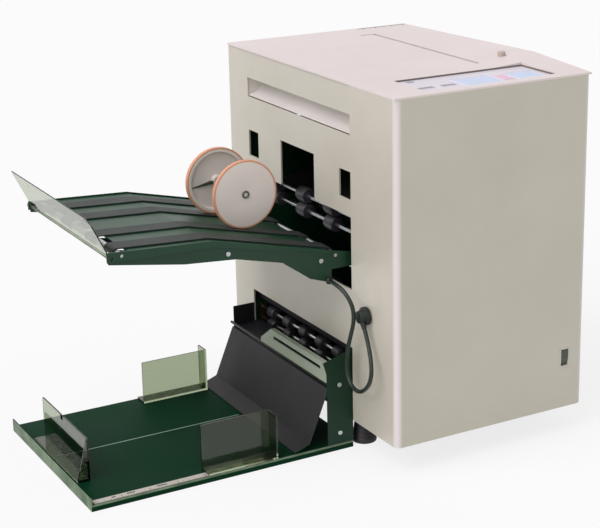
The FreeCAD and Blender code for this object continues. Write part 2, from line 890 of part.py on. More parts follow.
def shaft_places():
    """Each shaft that runs through both frame plates, as (x, z, journal radius)."""
    return [
        (fold_x, fold_z - fold_radius - fold_nip / 2, fold_journal_radius),
        (fold_x, fold_z + fold_radius + fold_nip / 2, fold_journal_radius),
        (booklet_x, booklet_z - booklet_radius - exit_nip / 2, exit_journal_radius),
        (booklet_x, booklet_z + booklet_radius + exit_nip / 2, exit_journal_radius),
        (sheet_x, sheet_z - sheet_radius - exit_nip / 2, exit_journal_radius),
        (sheet_x, sheet_z + sheet_radius + exit_nip / 2, exit_journal_radius),
    ]


def bearing_spots():
    """The edges (x0, x1, z0, z1) of the block that carries each pair of shafts."""
    places = shaft_places()
    spots = []
    for (x, low, radius), (_, high, _) in zip(places[0::2], places[1::2]):
        reach = radius + bush_wall
        spots.append((x - reach, x + reach, low - reach, high + reach))
    return spots


def frame_plate_at(y0, left):
    """One frame plate, cut out for the bearing blocks and the pan's rim, with a lightening window."""
    plate = box(left, right_inner_x, y0, y0 + frame_plate, floor_z, top_z - frame_top_drop)
    cuts = []
    for x0, x1, z0, z1 in bearing_spots():
        cuts.append(box(x0, x1, y0 - cut_over, y0 + frame_plate + cut_over, z0, z1))
    rim_reach = pan_sheet + seam
    rim_top = floor_z + pan_rim + seam
    cuts.append(box(left - cut_over, panel_inner_x + rim_reach, y0 - cut_over, y0 + frame_plate + cut_over,
                    floor_z - cut_over, rim_top))
    cuts.append(box(right_inner_x - rim_reach, right_inner_x + cut_over, y0 - cut_over,
                    y0 + frame_plate + cut_over, floor_z - cut_over, rim_top))
    cuts.append(box(frame_edge_margin, channel_left_x - frame_edge_margin, y0 - cut_over,
                    y0 + frame_plate + cut_over, fold_z + 3 * fold_radius, top_z - 2 * frame_edge_margin))
    cuts.append(rod_y(pinion_x(), pinion_z(), pinion_shaft_radius + 2 * slide_gap,
                      y0 - cut_over, y0 + frame_plate + cut_over))
    cuts.append(rod_y(motor_x, base_z + motor_rise, motor_shaft_radius + 2 * slide_gap,
                      y0 - cut_over, y0 + frame_plate + cut_over))
    return plate.cut(cuts)


def bearing_bushes():
    """Bearing blocks in both frame plates, each bored for a pair of shafts."""
    bushes = []
    for y in (near_plate_y - frame_plate, far_plate_y):
        y0 = y - bush_proud
        y1 = y + frame_plate + bush_proud
        bores = []
        for x, z, radius in shaft_places():
            bores.append(rod_y(x, z, radius + shaft_gap, y0 - cut_over, y1 + cut_over))
        for x0, x1, z0, z1 in bearing_spots():
            bushes.append(box(x0, x1, y0, y1, z0, z1).cut(bores))
    return bushes


def tie_bars():
    """Round bars that hold the frame plates apart, and the bar that the belt tray hooks over."""
    right_x = cabinet_width - tie_inset
    places = [(tie_left_x, works_z + tie_high_rise), (right_x, works_z + tie_high_rise),
              (tie_middle_x, works_z + tie_middle_rise), (right_x, base_z + tie_low_rise)]
    bars = [rod_y(x, z, tie_radius, near_plate_y, far_plate_y) for x, z in places]
    bars.append(rod_y(hanger_x, hook_low_z - hanger_radius, hanger_radius, near_plate_y, far_plate_y))
    return bars


def turned_guide(radius, centre_x, centre_z, end_x, outward):
    """A guide that turns from the channel to level. Outward thickens it away from the turn's centre."""
    outer = radius + guide_sheet if outward else radius
    inner = outer - guide_sheet
    half = math.sqrt(0.5)
    y = near_plate_y

    def quarter(r):
        first = Vector(centre_x + r, y, centre_z)
        middle = Vector(centre_x + r * half, y, centre_z - r * half)
        last = Vector(centre_x, y, centre_z - r)
        return first, middle, last

    a0, a1, a2 = quarter(outer)
    b0, b1, b2 = quarter(inner)
    out_end = Vector(end_x, y, a2.z)
    in_end = Vector(end_x, y, b2.z)
    edges = [Part.Arc(a0, a1, a2).toShape(), Part.makeLine(a2, out_end), Part.makeLine(out_end, in_end),
             Part.makeLine(in_end, b2), Part.Arc(b2, b1, b0).toShape(), Part.makeLine(b0, a0)]
    return Part.Face(Part.Wire(edges)).extrude(Vector(0, far_plate_y - near_plate_y, 0))


def paper_guides():
    """Sheet guides: the channel below the slot, the turn to the lower rollers and the booklet path."""
    y0 = near_plate_y
    y1 = far_plate_y
    left0 = channel_left_x - guide_sheet
    right1 = channel_right_x + guide_sheet
    top = cover_top_z - slide_gap
    nip_clear = fold_radius
    solids = [
        box(left0, channel_left_x, y0, y1, fold_z + nip_clear, top),
        box(left0, channel_left_x, y0, y1, gate_high_z, fold_z - nip_clear),
        box(channel_right_x, right1, y0, y1, fold_z + knife_gap, top),
        box(channel_right_x, right1, y0, y1, gate_high_z, fold_z - knife_gap),
    ]
    centre_x = channel_left_x - turn_inner_radius
    solids.append(turned_guide(turn_inner_radius, centre_x, gate_low_z, run_end_x, False))
    solids.append(turned_guide(turn_inner_radius + channel_width, centre_x, gate_low_z, run_end_x, True))
    end_x = booklet_x + booklet_radius + guide_end_clear
    start_x = fold_x - fold_radius
    lower = [(start_x, fold_z - fold_guide_spread), (end_x, booklet_z - exit_guide_spread)]
    upper = [(start_x, fold_z + fold_guide_spread + guide_sheet),
             (end_x, booklet_z + exit_guide_spread + guide_sheet)]
    solids.append(bent_strip(lower, guide_sheet, y0, y1))
    solids.append(bent_strip(upper, guide_sheet, y0, y1))
    hood = [(hood_front_x, base_z + hood_high_rise), (hood_knee_x, base_z + hood_knee_rise),
            (hood_back_x, base_z + hood_back_rise)]
    hood += [(x + guide_sheet, z + guide_sheet) for x, z in reversed(hood)]
    notch = box(hood_front_x - cut_over, cover_sheet + edge_fold + seam, y0 - cut_over, side_start_y,
                base_z + hood_back_rise, base_z + hood_high_rise + cut_over)
    solids.append(prism_y(hood, y0, y1).cut(notch))
    return solids


def sheet_gate():
    """The comb that stops a sheet in the channel at the place where it is folded."""
    low = (gate_low_z + gate_high_z) / 2 - gate_thickness / 2
    high = low + gate_thickness
    back = channel_right_x + guide_sheet + slide_gap
    pieces = [box(back, back + gate_bar_width, near_plate_y + slide_gap, far_plate_y - slide_gap, low, high)]
    first = near_plate_y + tyre_margin
    last = far_plate_y - tyre_margin - gate_finger_width
    for y in evenly(first, last, gate_finger_count):
        pieces.append(box(channel_left_x - gate_reach, back + slide_gap, y, y + gate_finger_width, low, high))
    return join(pieces)


def fold_roller(z, near_y, far_y):
    """The parts of a fold roller: a barrel on stepped journals."""
    barrel0 = near_plate_y + fold_end_clear
    barrel1 = far_plate_y - fold_end_clear
    shoulder = fold_radius * roller_neck_share
    near = near_plate_y + bush_proud + slide_gap
    far = far_plate_y - bush_proud - slide_gap
    return [
        rod_y(fold_x, z, fold_radius, barrel0, barrel1),
        rod_y(fold_x, z, shoulder, near, far),
        rod_y(fold_x, z, fold_journal_radius, near_y, far_y),
    ]


def pulley(x, z, radius):
    """The parts of a flanged belt pulley on a shaft's end beyond the far frame plate."""
    y0 = far_plate_y + frame_plate + pulley_clear
    y1 = y0 + pulley_width
    return [
        rod_y(x, z, radius, y0, y1),
        rod_y(x, z, radius + pulley_rim, y0, y0 + pulley_rim_width),
        rod_y(x, z, radius + pulley_rim, y1 - pulley_rim_width, y1),
    ]


def pulley_end_y():
    """Where the shafts end beyond their pulleys."""
    return far_plate_y + frame_plate + pulley_clear + pulley_width


def gear_start_y():
    """The near face of the gears before the near frame plate."""
    return near_plate_y - frame_plate - gear_clear - gear_width


def exit_roller(x, z, radius, tyre_count, tyre_width, far_y):
    """The parts of a plain shaft with a row of rubber rollers."""
    pieces = [rod_y(x, z, exit_journal_radius, near_plate_y - frame_plate - gear_clear, far_y)]
    first = near_plate_y + tyre_margin
    last = far_plate_y - tyre_margin - tyre_width
    for y in evenly(first, last, tyre_count):
        pieces.append(rod_y(x, z, radius, y, y + tyre_width))
    return pieces


def drive_belt():
    """The belt from the motor round the three driven shafts."""
    y0 = far_plate_y + frame_plate + pulley_clear + pulley_rim_width + slide_gap
    y1 = pulley_end_y() - pulley_rim_width - slide_gap
    places = shaft_places()
    circles = [
        (places[0][0], places[0][1], fold_radius * pulley_share),
        (places[2][0], places[2][1], booklet_radius * pulley_share),
        (places[4][0], places[4][1], sheet_radius * pulley_share),
        (motor_x, base_z + motor_rise, motor_pulley_radius),
    ]
    return belt_loop(circles, y0, y1)


def drive_motor():
    """The drive motor, flanged to the inside of the far frame plate."""
    z = base_z + motor_rise
    front = far_plate_y
    flange = front - frame_plate
    body = rod_y(motor_x, z, motor_radius, front - motor_length, flange)
    plate = box(motor_x - motor_radius, motor_x + motor_radius, flange, front,
                z - motor_radius, z + motor_radius)
    hub = rod_y(motor_x, z, motor_radius * roller_neck_share, front - motor_length - frame_plate,
                front - motor_length)
    motor = join([body, plate, hub])
    return motor.cut(rod_y(motor_x, z, motor_shaft_radius + 2 * slide_gap, front - 2 * frame_plate,
                           front + cut_over))


def motor_rotor():
    """The motor's shaft end with its small pulley."""
    z = base_z + motor_rise
    shaft = rod_y(motor_x, z, motor_shaft_radius, far_plate_y - 2 * frame_plate + slide_gap, pulley_end_y())
    return join([shaft] + pulley(motor_x, z, motor_pulley_radius))


def knife_back_x():
    """Where the blade meets its carriage."""
    return knife_tip_x + knife_length


def knife_blade():
    """The fold knife: a thin plate with a bevelled, notched edge."""
    back = knife_back_x()
    half = knife_thickness / 2
    outline = [(knife_tip_x, fold_z), (knife_tip_x + knife_bevel, fold_z + half), (back, fold_z + half),
               (back, fold_z - half), (knife_tip_x + knife_bevel, fold_z - half)]
    blade = prism_y(outline, knife_near_y, knife_far_y)
    pitch = (knife_far_y - knife_near_y) / knife_tooth_count
    width = pitch * knife_notch_share
    notches = []
    for i in range(1, knife_tooth_count):
        y = knife_near_y + pitch * i - width / 2
        notches.append(box(knife_tip_x - cut_over, knife_tip_x + knife_notch, y, y + width,
                           fold_z - knife_thickness, fold_z + knife_thickness))
    return blade.cut(notches)


def rail_places():
    """The y of both rails of the knife carriage."""
    return [near_plate_y + rail_inset, far_plate_y - rail_inset]


def pinion_radius():
    """The pitch radius of the pinion that drives the knife."""
    return pinion_teeth * pinion_module / 2


def rack_pitch_z():
    """The height of the rack's pitch line."""
    return fold_z - carriage_height / 2 - rack_back - gear_root_share * pinion_module


def pinion_x():
    """Where the pinion stands under the rack."""
    return knife_tip_x + pinion_set_back


def pinion_z():
    """The height of the pinion's axis."""
    return rack_pitch_z() - pinion_radius()


def knife_carriage():
    """The carriage behind the blade, bored for its rails, with the rack under its near end."""
    x0 = knife_back_x()
    x1 = x0 + carriage_depth
    half = carriage_height / 2
    bar = box(x0, x1, near_plate_y + carriage_clear, far_plate_y - carriage_clear,
              fold_z - half, fold_z + half)
    y0 = near_plate_y + rack_inset
    y1 = y0 + rack_width
    pitch_z = rack_pitch_z()
    middle = pinion_x()
    tooth = math.pi * pinion_module
    root = pitch_z + gear_root_share * pinion_module
    tip = pitch_z - gear_tip_share * pinion_module
    slope = math.tan(pressure_angle)
    half_tooth = tooth / 4 * (1 - backlash_share)
    root_half = half_tooth + slope * (root - pitch_z)
    tip_half = half_tooth - slope * (pitch_z - tip)
    before = int((middle - (right_inner_x - rack_length)) / tooth)
    after = int((right_inner_x - middle) / tooth)
    outline = [(middle - tooth * (before + 0.5), fold_z - half), (middle - tooth * (before + 0.5), root)]
    for i in range(-before, after):
        x = middle + tooth * i
        outline += [(x - root_half, root), (x - tip_half, tip), (x + tip_half, tip), (x + root_half, root)]
    outline += [(middle + tooth * (after - 0.5), root), (middle + tooth * (after - 0.5), fold_z - half)]
    rack = prism_y(outline, y0, y1)
    carriage = join([bar, rack])
    bores = [rod_x(y, fold_z, rail_radius + shaft_gap, x0 - cut_over, x1 + cut_over) for y in rail_places()]
    return carriage.cut(bores)


def knife_rails():
    """Two round rails for the knife carriage, each in two blocks on a frame plate."""
    rails = []
    first = knife_tip_x + seam
    half = rail_block_height / 2
    for y, wall in zip(rail_places(), (near_plate_y, far_plate_y)):
        reach = y + math.copysign(rail_block_height / 2, y - wall)
        y0 = min(wall, reach)
        y1 = max(wall, reach)
        rail = [rod_x(y, fold_z, rail_radius, first, rail_end_x)]
        for x in (first, rail_end_x - rail_block):
            rail.append(box(x, x + rail_block, y0, y1, fold_z - half, fold_z + half))
        rails.append(join(rail))
    return rails


def knife_pinion():
    """The pinion that drives the rack, on its shaft through the near frame plate."""
    y0 = near_plate_y + rack_inset + slide_gap
    wheel = gear(pinion_x(), pinion_z(), pinion_teeth, pinion_module, y0, y0 + pinion_width,
                 math.pi / pinion_teeth)
    shaft = rod_y(pinion_x(), pinion_z(), pinion_shaft_radius, near_plate_y - frame_plate + slide_gap,
                  y0 + seam)
    return join([wheel, shaft])


def gear_motors():
    """The small geared motors of the knife and of the belt tray."""
    y1 = near_plate_y - frame_plate
    knife = rod_y(pinion_x(), pinion_z(), small_motor_radius, y1 - small_motor_length, y1)
    tray_y = belt_tray_near_y + belt_tray_sheet
    tray_z = works_z + tray_motor_rise
    tray = rod_y(tray_motor_x, tray_z, tray_motor_radius, tray_y, tray_y + tray_motor_length)
    return [knife, tray]


def chute():
    """The chute: two upright plates and the bent sheet that leads flat sheets down to the tray."""
    outline = [(panel_outer_x, tray_top_z), (panel_outer_x, base_z + chute_top_rise),
               (-chute_lip_reach, base_z + chute_lip_rise), (-chute_foot_reach, base_z + chute_shoulder_rise),
               (-chute_foot_reach, tray_top_z)]
    near = prism_y(outline, opening_near_y, opening_near_y + chute_sheet)
    far = box(-chute_far_reach, panel_outer_x, opening_far_y, opening_far_y + chute_sheet, tray_top_z,
              base_z + chute_far_rise)
    start_x = sheet_x - sheet_radius - guide_end_clear
    points = [
        (start_x, base_z + chute_guide_start_rise),
        (chute_guide_knee_x, base_z + chute_guide_knee_rise),
        (chute_guide_heel_x, base_z + chute_guide_heel_rise),
        (chute_guide_foot_x, tray_top_z + chute_sheet),
    ]
    return [near, far, bent_strip(points, chute_sheet, opening_near_y + chute_sheet, opening_far_y)]


def crossbar():
    """The slotted, flanged crossbar over the chute, hemmed round a rod from plate to plate."""
    near = opening_near_y + chute_sheet
    low = base_z + crossbar_low_rise
    high = base_z + crossbar_high_rise
    outline = [(near, low), (crossbar_far_y, low), (crossbar_far_y, high - crossbar_corner_z),
               (crossbar_far_y - crossbar_corner_y, high), (near, high)]
    face = prism_x(outline, crossbar_x, crossbar_x + chute_sheet)
    flange = box(crossbar_x, crossbar_x + crossbar_flange, near, crossbar_far_y - crossbar_corner_y,
                 high - chute_sheet, high)
    rod = rod_y(crossbar_x + exit_rod_radius, low, exit_rod_radius, near, opening_far_y)
    slot = box(crossbar_x - cut_over, crossbar_x + chute_sheet + cut_over, near + crossbar_slot_near_margin,
               crossbar_far_y - crossbar_slot_far_margin, base_z + crossbar_slot_low_rise,
               base_z + crossbar_slot_high_rise)
    return join([face, flange, rod]).cut(slot)


def low_tray():
    """The low tray: a sheet with its edges turned down, a lip at its end and a groove along it."""
    outer = box(-tray_reach, 0, tray_near_y, tray_far_y, 0, tray_height)
    hollow = box(-tray_reach + tray_sheet, -tray_sheet, tray_near_y + tray_sheet, tray_far_y - tray_sheet,
                 -cut_over, tray_height - tray_sheet)
    lip = box(-tray_reach, -tray_reach + tray_sheet, tray_near_y, tray_far_y, tray_height - seam,
              tray_height + tray_lip)
    half = tray_groove_width / 2
    groove_y = path_centre_y + tray_groove_shift
    groove = box(-tray_reach + tray_lip, chute_guide_foot_x, groove_y - half, groove_y + half,
                 tray_height - tray_groove_depth, tray_height + cut_over)
    return join([outer.cut(hollow), lip]).cut(groove)


def side_guide(facing, left):
    """A clear side guide: a plate, a foot flange and an end return. Facing is -1 near and 1 far."""
    right = left + guide_length
    inner = path_centre_y + facing * ((opening_far_y - opening_near_y) / 2 - guide_inset)
    outer = inner + facing * clear_sheet
    foot = inner + facing * guide_foot
    low = tray_top_z + slide_gap
    high = low + guide_height
    plate = box(left, right, min(inner, outer), max(inner, outer), low, high)
    flange = box(left, right, min(inner, foot), max(inner, foot), low, low + clear_sheet)
    end = box(right - clear_sheet, right, min(inner, foot), max(inner, foot), low, high)
    return join([plate, flange, end])


def end_stop():
    """The clear end stop: a notched plate with a foot flange behind it and a return at its near end."""
    low = tray_top_z + slide_gap
    high = low + stop_height
    near = path_centre_y - stop_near_reach
    far = path_centre_y + stop_far_reach
    plate = box(stop_x, stop_x + clear_sheet, near, far, low, high)
    flange = box(stop_x - stop_foot, stop_x + clear_sheet, near, far, low, low + clear_sheet)
    end = prism_y([(stop_x, low), (stop_x - stop_foot, low), (stop_x, high)], near, near + clear_sheet)
    notch_y = path_centre_y + stop_notch_shift
    notch = box(stop_x - cut_over, stop_x + clear_sheet + cut_over, notch_y - stop_notch_width / 2,
                notch_y + stop_notch_width / 2, high - stop_notch_depth, high + cut_over)
    return join([plate, flange, end]).cut(notch)


def belt_tray_top(x):
    """The height of the belt tray's upper edge at x."""
    if x > belt_tray_bend_x:
        start_x, start_z = belt_tray_start_x, belt_tray_start_z
        end_x, end_z = belt_tray_bend_x, belt_tray_bend_z
    else:
        start_x, start_z = belt_tray_bend_x, belt_tray_bend_z
        end_x, end_z = belt_tray_end_x, belt_tray_end_z
    return start_z + (end_z - start_z) * (x - start_x) / (end_x - start_x)


def belt_circles():
    """The circles that a tray belt runs round, as (x, z, radius)."""
    reach = belt_roller_radius + slide_gap + belt_thickness
    circles = []
    for x in (belt_first_roller_x, belt_tray_bend_x, belt_last_roller_x):
        slope = math.atan2(abs(belt_tray_top(x) - belt_tray_top(x - seam)), seam)
        circles.append((x, belt_tray_top(x) - reach / math.cos(slope), belt_roller_radius))
    return circles


def end_plate_pivot():
    """Where the end plate of the belt tray turns, as (x, z)."""
    return end_plate_pivot_x, belt_tray_end_z - end_plate_pivot_drop


def belt_tray_sides():
    """The two side plates of the belt tray, each with a hook, a bent underside and a bevelled rim."""
    top = [(hook_reach, works_z + hook_high_rise), (belt_tray_start_x, belt_tray_start_z),
           (belt_tray_bend_x, belt_tray_bend_z), (belt_tray_end_x, belt_tray_end_z)]
    under = [(x, works_z + rise) for x, rise in belt_tray_underside]
    under += [(belt_tray_heel_x, works_z + belt_tray_heel_rise), (belt_tray_heel_x, hook_low_z),
              (hook_reach, hook_low_z)]
    pivot_x, pivot_z = end_plate_pivot()
    circles = belt_circles()
    sides = []
    for y0, out in ((belt_tray_near_y, -1), (belt_tray_far_y - belt_tray_sheet, 1)):
        y1 = y0 + belt_tray_sheet
        face_y = y0 if out < 0 else y1
        rims = []
        for (x, z), depth in zip(top[1:], (rim_start_depth, rim_bend_depth, rim_end_depth)):
            corners = [Vector(x, face_y, z), Vector(x, face_y + out * rim_proud, z - depth),
                       Vector(x, face_y, z - depth)]
            rims.append(Part.makePolygon(corners + corners[:1]))
        side = join([prism_y(top + under, y0, y1), Part.makeLoft(rims, True, True)])
        holes = [rod_y(pivot_x, pivot_z, belt_journal_radius + shaft_gap, y0 - cut_over, y1 + cut_over)]
        for x, z, _ in (circles[0], circles[2]):
            holes.append(rod_y(x, z, belt_journal_radius + shaft_gap, y0 - cut_over, y1 + cut_over))
        sides.append(side.cut(holes))
    return sides


def belt_tray_bed():
    """The bent bed under the belts, from side plate to side plate."""
    drop = (belt_thickness + 2 * slide_gap) / math.cos(belt_tray_slope())
    first = belt_first_roller_x - bed_end_clear
    last = belt_last_roller_x + bed_end_clear
    points = [(x, belt_tray_top(x) - drop) for x in (first, belt_tray_bend_x, last)]
    return bent_strip(points, belt_tray_sheet, belt_tray_near_y + belt_tray_sheet,
                      belt_tray_far_y - belt_tray_sheet)


def belt_tray_slope():
    """The slope of the belt tray beside the machine."""
    rise = belt_tray_bend_z - belt_tray_start_z
    return math.atan2(rise, belt_tray_start_x - belt_tray_bend_x)


def tray_belts():
    """Four flat belts along the belt tray."""
    belts = []
    for pitch in (outer_belt_pitch, inner_belt_pitch):
        for side in (-1, 1):
            y = belt_middle_y + side * pitch / 2
            belts.append(belt_loop(belt_circles(), y - belt_width / 2, y + belt_width / 2))
    return belts


def belt_roller(index):
    """A belt roller between the side plates, on thin journals."""
    x, z, radius = belt_circles()[index]
    inner0 = belt_tray_near_y + belt_tray_sheet
    inner1 = belt_tray_far_y - belt_tray_sheet
    barrel = rod_y(x, z, radius, inner0 + slide_gap, inner1 - slide_gap)
    journal = rod_y(x, z, belt_journal_radius, belt_tray_near_y, belt_tray_far_y)
    return join([barrel, journal])


def end_plate():
    """The leaning end plate, with a chamfered corner, a round hem in the side plates and a knob."""
    pivot_x, pivot_z = end_plate_pivot()
    near = belt_tray_near_y + belt_tray_sheet + slide_gap
    far = belt_tray_far_y - belt_tray_sheet - slide_gap
    high = pivot_z + end_plate_height
    half = belt_tray_sheet / 2
    outline = [(near, pivot_z), (far, pivot_z), (far, high), (near + end_plate_chamfer_y, high),
               (near, high - end_plate_chamfer_z)]
    plate = prism_x(outline, pivot_x - half, pivot_x + half)
    plate.rotate(Vector(pivot_x, 0, pivot_z), Vector(0, 1, 0), -math.degrees(end_plate_lean))
    hem = rod_y(pivot_x, pivot_z, belt_journal_radius + seam, near, far)
    trunnion = rod_y(pivot_x, pivot_z, belt_journal_radius, belt_tray_near_y, far)
    knob_y = belt_tray_far_y + rim_proud + slide_gap
    stem = rod_y(pivot_x, pivot_z, belt_journal_radius, far - seam, knob_y + seam)
    knob = rod_y(pivot_x, pivot_z, end_plate_knob_radius, knob_y, knob_y + end_plate_knob_depth)
    return join([plate, hem, trunnion, stem, knob])


def press_centre():
    """The axle of the press roller, as (x, z), with the tyres just clear of the belts."""
    slope = belt_tray_slope()
    reach = press_radius + slide_gap
    foot_x = press_x - reach * math.sin(slope)
    return press_x, belt_tray_top(foot_x) + reach * math.cos(slope)


def press_places():
    """The middle y of each disc."""
    return [belt_middle_y - inner_belt_pitch / 2, belt_middle_y + inner_belt_pitch / 2]


def press_axle():
    """The axle of the press roller, flared towards the discs, with a cap beyond each disc."""
    x, z = press_centre()
    near, far = press_places()
    half = press_tyre_width / 2 + slide_gap
    core = x + press_axle_radius
    flare = x + press_axle_flare_radius
    outline = [
        (x, near - half - press_cap_width), (flare, near - half - press_cap_width), (flare, near - half),
        (core, near - half), (core, near + half), (flare, near + half),
        (core, near + half + press_axle_flare_length), (core, far - half - press_axle_flare_length),
        (flare, far - half), (core, far - half), (core, far + half),
        (flare, far + half), (flare, far + half + press_cap_width), (x, far + half + press_cap_width),
    ]
    profile = [Vector(a, y, z) for a, y in outline]
    face = Part.Face(Part.makePolygon(profile + profile[:1]))
    return face.revolve(Vector(x, 0, z), Vector(0, 1, 0), 360)


def press_discs():
    """Two dished discs with thick rims and hubs."""
    x, z = press_centre()
    outer = press_radius - press_tyre_thickness
    discs = []
    for y in press_places():
        y0 = y - press_tyre_width / 2
        y1 = y + press_tyre_width / 2
        inner = 1 if y < belt_middle_y else -1
        floor_y = y - inner * (press_tyre_width / 2 - press_disc_web)
        disc = rod_y(x, z, outer, y0, y1)
        open_side = y + inner * (press_tyre_width / 2 + cut_over)
        well = rod_y(x, z, outer - press_disc_rim, min(floor_y, open_side), max(floor_y, open_side))
        hub = rod_y(x, z, press_hub_radius, y0 - cut_over, y1 + cut_over)
        disc = disc.cut(well.cut(hub))
        discs.append(disc.cut(rod_y(x, z, press_axle_radius + shaft_gap, y0 - cut_over, y1 + cut_over)))
    return discs


def press_tyres():
    """The rubber tyres of the press roller."""
    x, z = press_centre()
    inner = press_radius - press_tyre_thickness
    tyres = []
    for y in press_places():
        y0 = y - press_tyre_width / 2
        tyre = rod_y(x, z, press_radius, y0, y0 + press_tyre_width)
        tyres.append(tyre.cut(rod_y(x, z, inner, y0 - cut_over, y0 + press_tyre_width + cut_over)))
    return tyres


def plug_place():
    """The middle of the plug on the front cover, as (y, z)."""
    return plug_y, works_z + plug_rise


def plug_neck_end():
    """Where the cable enters the plug, and the direction out of its neck."""
    y, z = plug_place()
    out = Vector(0, -math.sin(plug_neck_lean), -math.cos(plug_neck_lean))
    return Vector(plug_neck_x, y, z) + out * plug_neck_length, out


def cable_plug():
    """The right-angle plug on the front cover: a drum with a coupling ring and a neck."""
    y, z = plug_place()
    drum = rod_x(y, z, plug_radius, -plug_length, 0)
    drum = drum.makeChamfer(plug_edge, [e for e in drum.Edges if e.Closed and e.BoundBox.XMax < -seam])
    ring = rod_x(y, z, plug_ring_radius, -plug_ring_length, 0)
    _, out = plug_neck_end()
    neck = Part.makeCylinder(plug_neck_radius, plug_neck_length, Vector(plug_neck_x, y, z), out)
    return join([drum, ring, neck])


def cable_gland():
    """The gland in the side of the belt tray that the cable leaves through."""
    face = belt_tray_near_y
    x, _, rise = cable_route[0]
    return rod_y(x, works_z + rise, gland_radius, face - gland_length, face)


def cable_points():
    """The route of the cable, with its last point in the plug's neck and one run before it."""
    end, out = plug_neck_end()
    points = [Vector(x, y, works_z + rise) for x, y, rise in cable_route]
    run = (points[-1] - points[-2]).Length
    return points + [end + out * run, end]


def cable():
    """The cable: straight runs joined by tangent arcs, with a round section."""
    points = cable_points()
    edges = []
    start = points[0]
    for i in range(1, len(points) - 1):
        into = points[i] - points[i - 1]
        away = points[i + 1] - points[i]
        turn = into.getAngle(away)
        reach = cable_run_share * min(into.Length, away.Length)
        radius = reach / math.tan(turn / 2)
        print("cable bend", i, "turn", round(math.degrees(turn)), "radius", round(radius, 1))
        into.normalize()
        away.normalize()
        first = points[i] - into * reach
        last = points[i] + away * reach
        inward = (away - into).normalize()
        middle = points[i] + inward * (radius / math.cos(turn / 2) - radius)
        edges.append(Part.LineSegment(start, first).toShape())
        edges.append(Part.Arc(first, middle, last).toShape())
        start = last
    edges.append(Part.LineSegment(start, points[-1]).toShape())
    path = Part.Wire(edges)
    profile = Part.Wire(Part.makeCircle(cable_radius, points[0], points[1] - points[0]))
    tube = path.makePipeShell([profile], True, False)
    print("cable length", round(path.Length, 1), "volume over section times length",
          round(tube.Volume / (math.pi * cable_radius ** 2 * path.Length), 4))
    return tube


def mains_inlet():
    """The mains inlet in the rear cover, with a hollow for the plug and three pins."""
    x1 = inlet_x + inlet_width
    z0 = base_z + inlet_rise
    z1 = z0 + inlet_height
    body = box(inlet_x, x1, cabinet_depth - inlet_depth, cabinet_depth, z0, z1)
    hollow = box(inlet_x + 2 * inlet_wall, x1 - 2 * inlet_wall, cabinet_depth - inlet_depth + inlet_wall,
                 cabinet_depth + cut_over, z0 + inlet_wall, z1 - inlet_wall)
    pieces = [body.cut(hollow)]
    floor = cabinet_depth - inlet_depth + inlet_wall
    for x in evenly(inlet_x + 4 * inlet_wall, x1 - 5 * inlet_wall, inlet_pin_count):
        pieces.append(box(x, x + inlet_wall, floor - seam, cabinet_depth - 2 * inlet_wall,
                          (z0 + z1) / 2 - inlet_wall, (z0 + z1) / 2 + inlet_wall))
    return join(pieces)


def electrics():
    """The power supply on the base pan and the control board on the near frame plate."""
    supply = box(supply_x, supply_x + supply_width, supply_y, supply_y + supply_depth, floor_z,
                 floor_z + supply_height)
    back = near_plate_y - frame_plate
    board_y = back - board_stand_off
    board_right_x = cabinet_width - board_right_margin
    board_left_x = board_right_x - board_width
    low = works_z + board_low_rise
    high = works_z + board_high_rise
    board = [box(board_left_x, board_right_x, board_y - board_sheet, board_y, low, high)]
    for x in (board_left_x + board_stand_off, board_right_x - board_stand_off):
        for z in (low + board_stand_off, high - board_stand_off):
            half = board_stand_off / 2
            board.append(box(x - half, x + half, board_y - seam, back, z - half, z + half))
    first = board_left_x + 2 * board_part_height
    last = board_right_x - 4 * board_part_height
    for x in evenly(first, last, board_part_count):
        board.append(box(x, x + 2 * board_part_height, board_y - board_sheet - board_part_height, board_y,
                         low + 2 * board_part_height, low + 5 * board_part_height))
    return [supply, join(board)]


def screw_at(x, z, y0):
    """A hexagonal screw head along Y."""
    angles = evenly(0, math.tau, screw_sides + 1)[:-1]
    outline = [(x + screw_radius * math.cos(a), z + screw_radius * math.sin(a)) for a in angles]
    return prism_y(outline, y0, y0 + screw_head)


def cover_screws():
    """Screw heads on the rear cover, the chute and the belt tray."""
    heads = []
    inset = frame_edge_margin / 2
    for x in (inset, cabinet_width - inset):
        for z in (base_z + frame_edge_margin, (base_z + top_z) / 2, top_z - frame_edge_margin):
            heads.append(screw_at(x, z, cabinet_depth))
    near = opening_near_y
    for z in (base_z + chute_guide_start_rise, tray_top_z + inset):
        heads.append(screw_at(-chute_foot_reach / 2, z, near - screw_head))
    side = belt_tray_near_y
    for x in (belt_tray_bend_x - belt_tray_start_x, belt_tray_heel_x - inset):
        z = belt_tray_top(x) - inset
        heads.append(screw_at(x, z, side - screw_head))
    return heads


def save(name, solids):
    """One file for a piece or a group of like pieces, moved to the saved origin."""
    if not isinstance(solids, list):
        solids = [solids]
    shape = solids[0].copy() if len(solids) == 1 else Part.makeCompound([s.copy() for s in solids])
    shape.translate(Vector(-middle_x, -middle_y, 0))
    shape.exportStep("parts/" + name + ".step")


middle_x = (cabinet_width - tray_reach) / 2
middle_y = (cabinet_depth + screw_head - switch_bezel_proud) / 2
gear_module = (2 * fold_radius + fold_nip) / gear_teeth
lower_fold_z = shaft_places()[0][1]
upper_fold_z = shaft_places()[1][1]

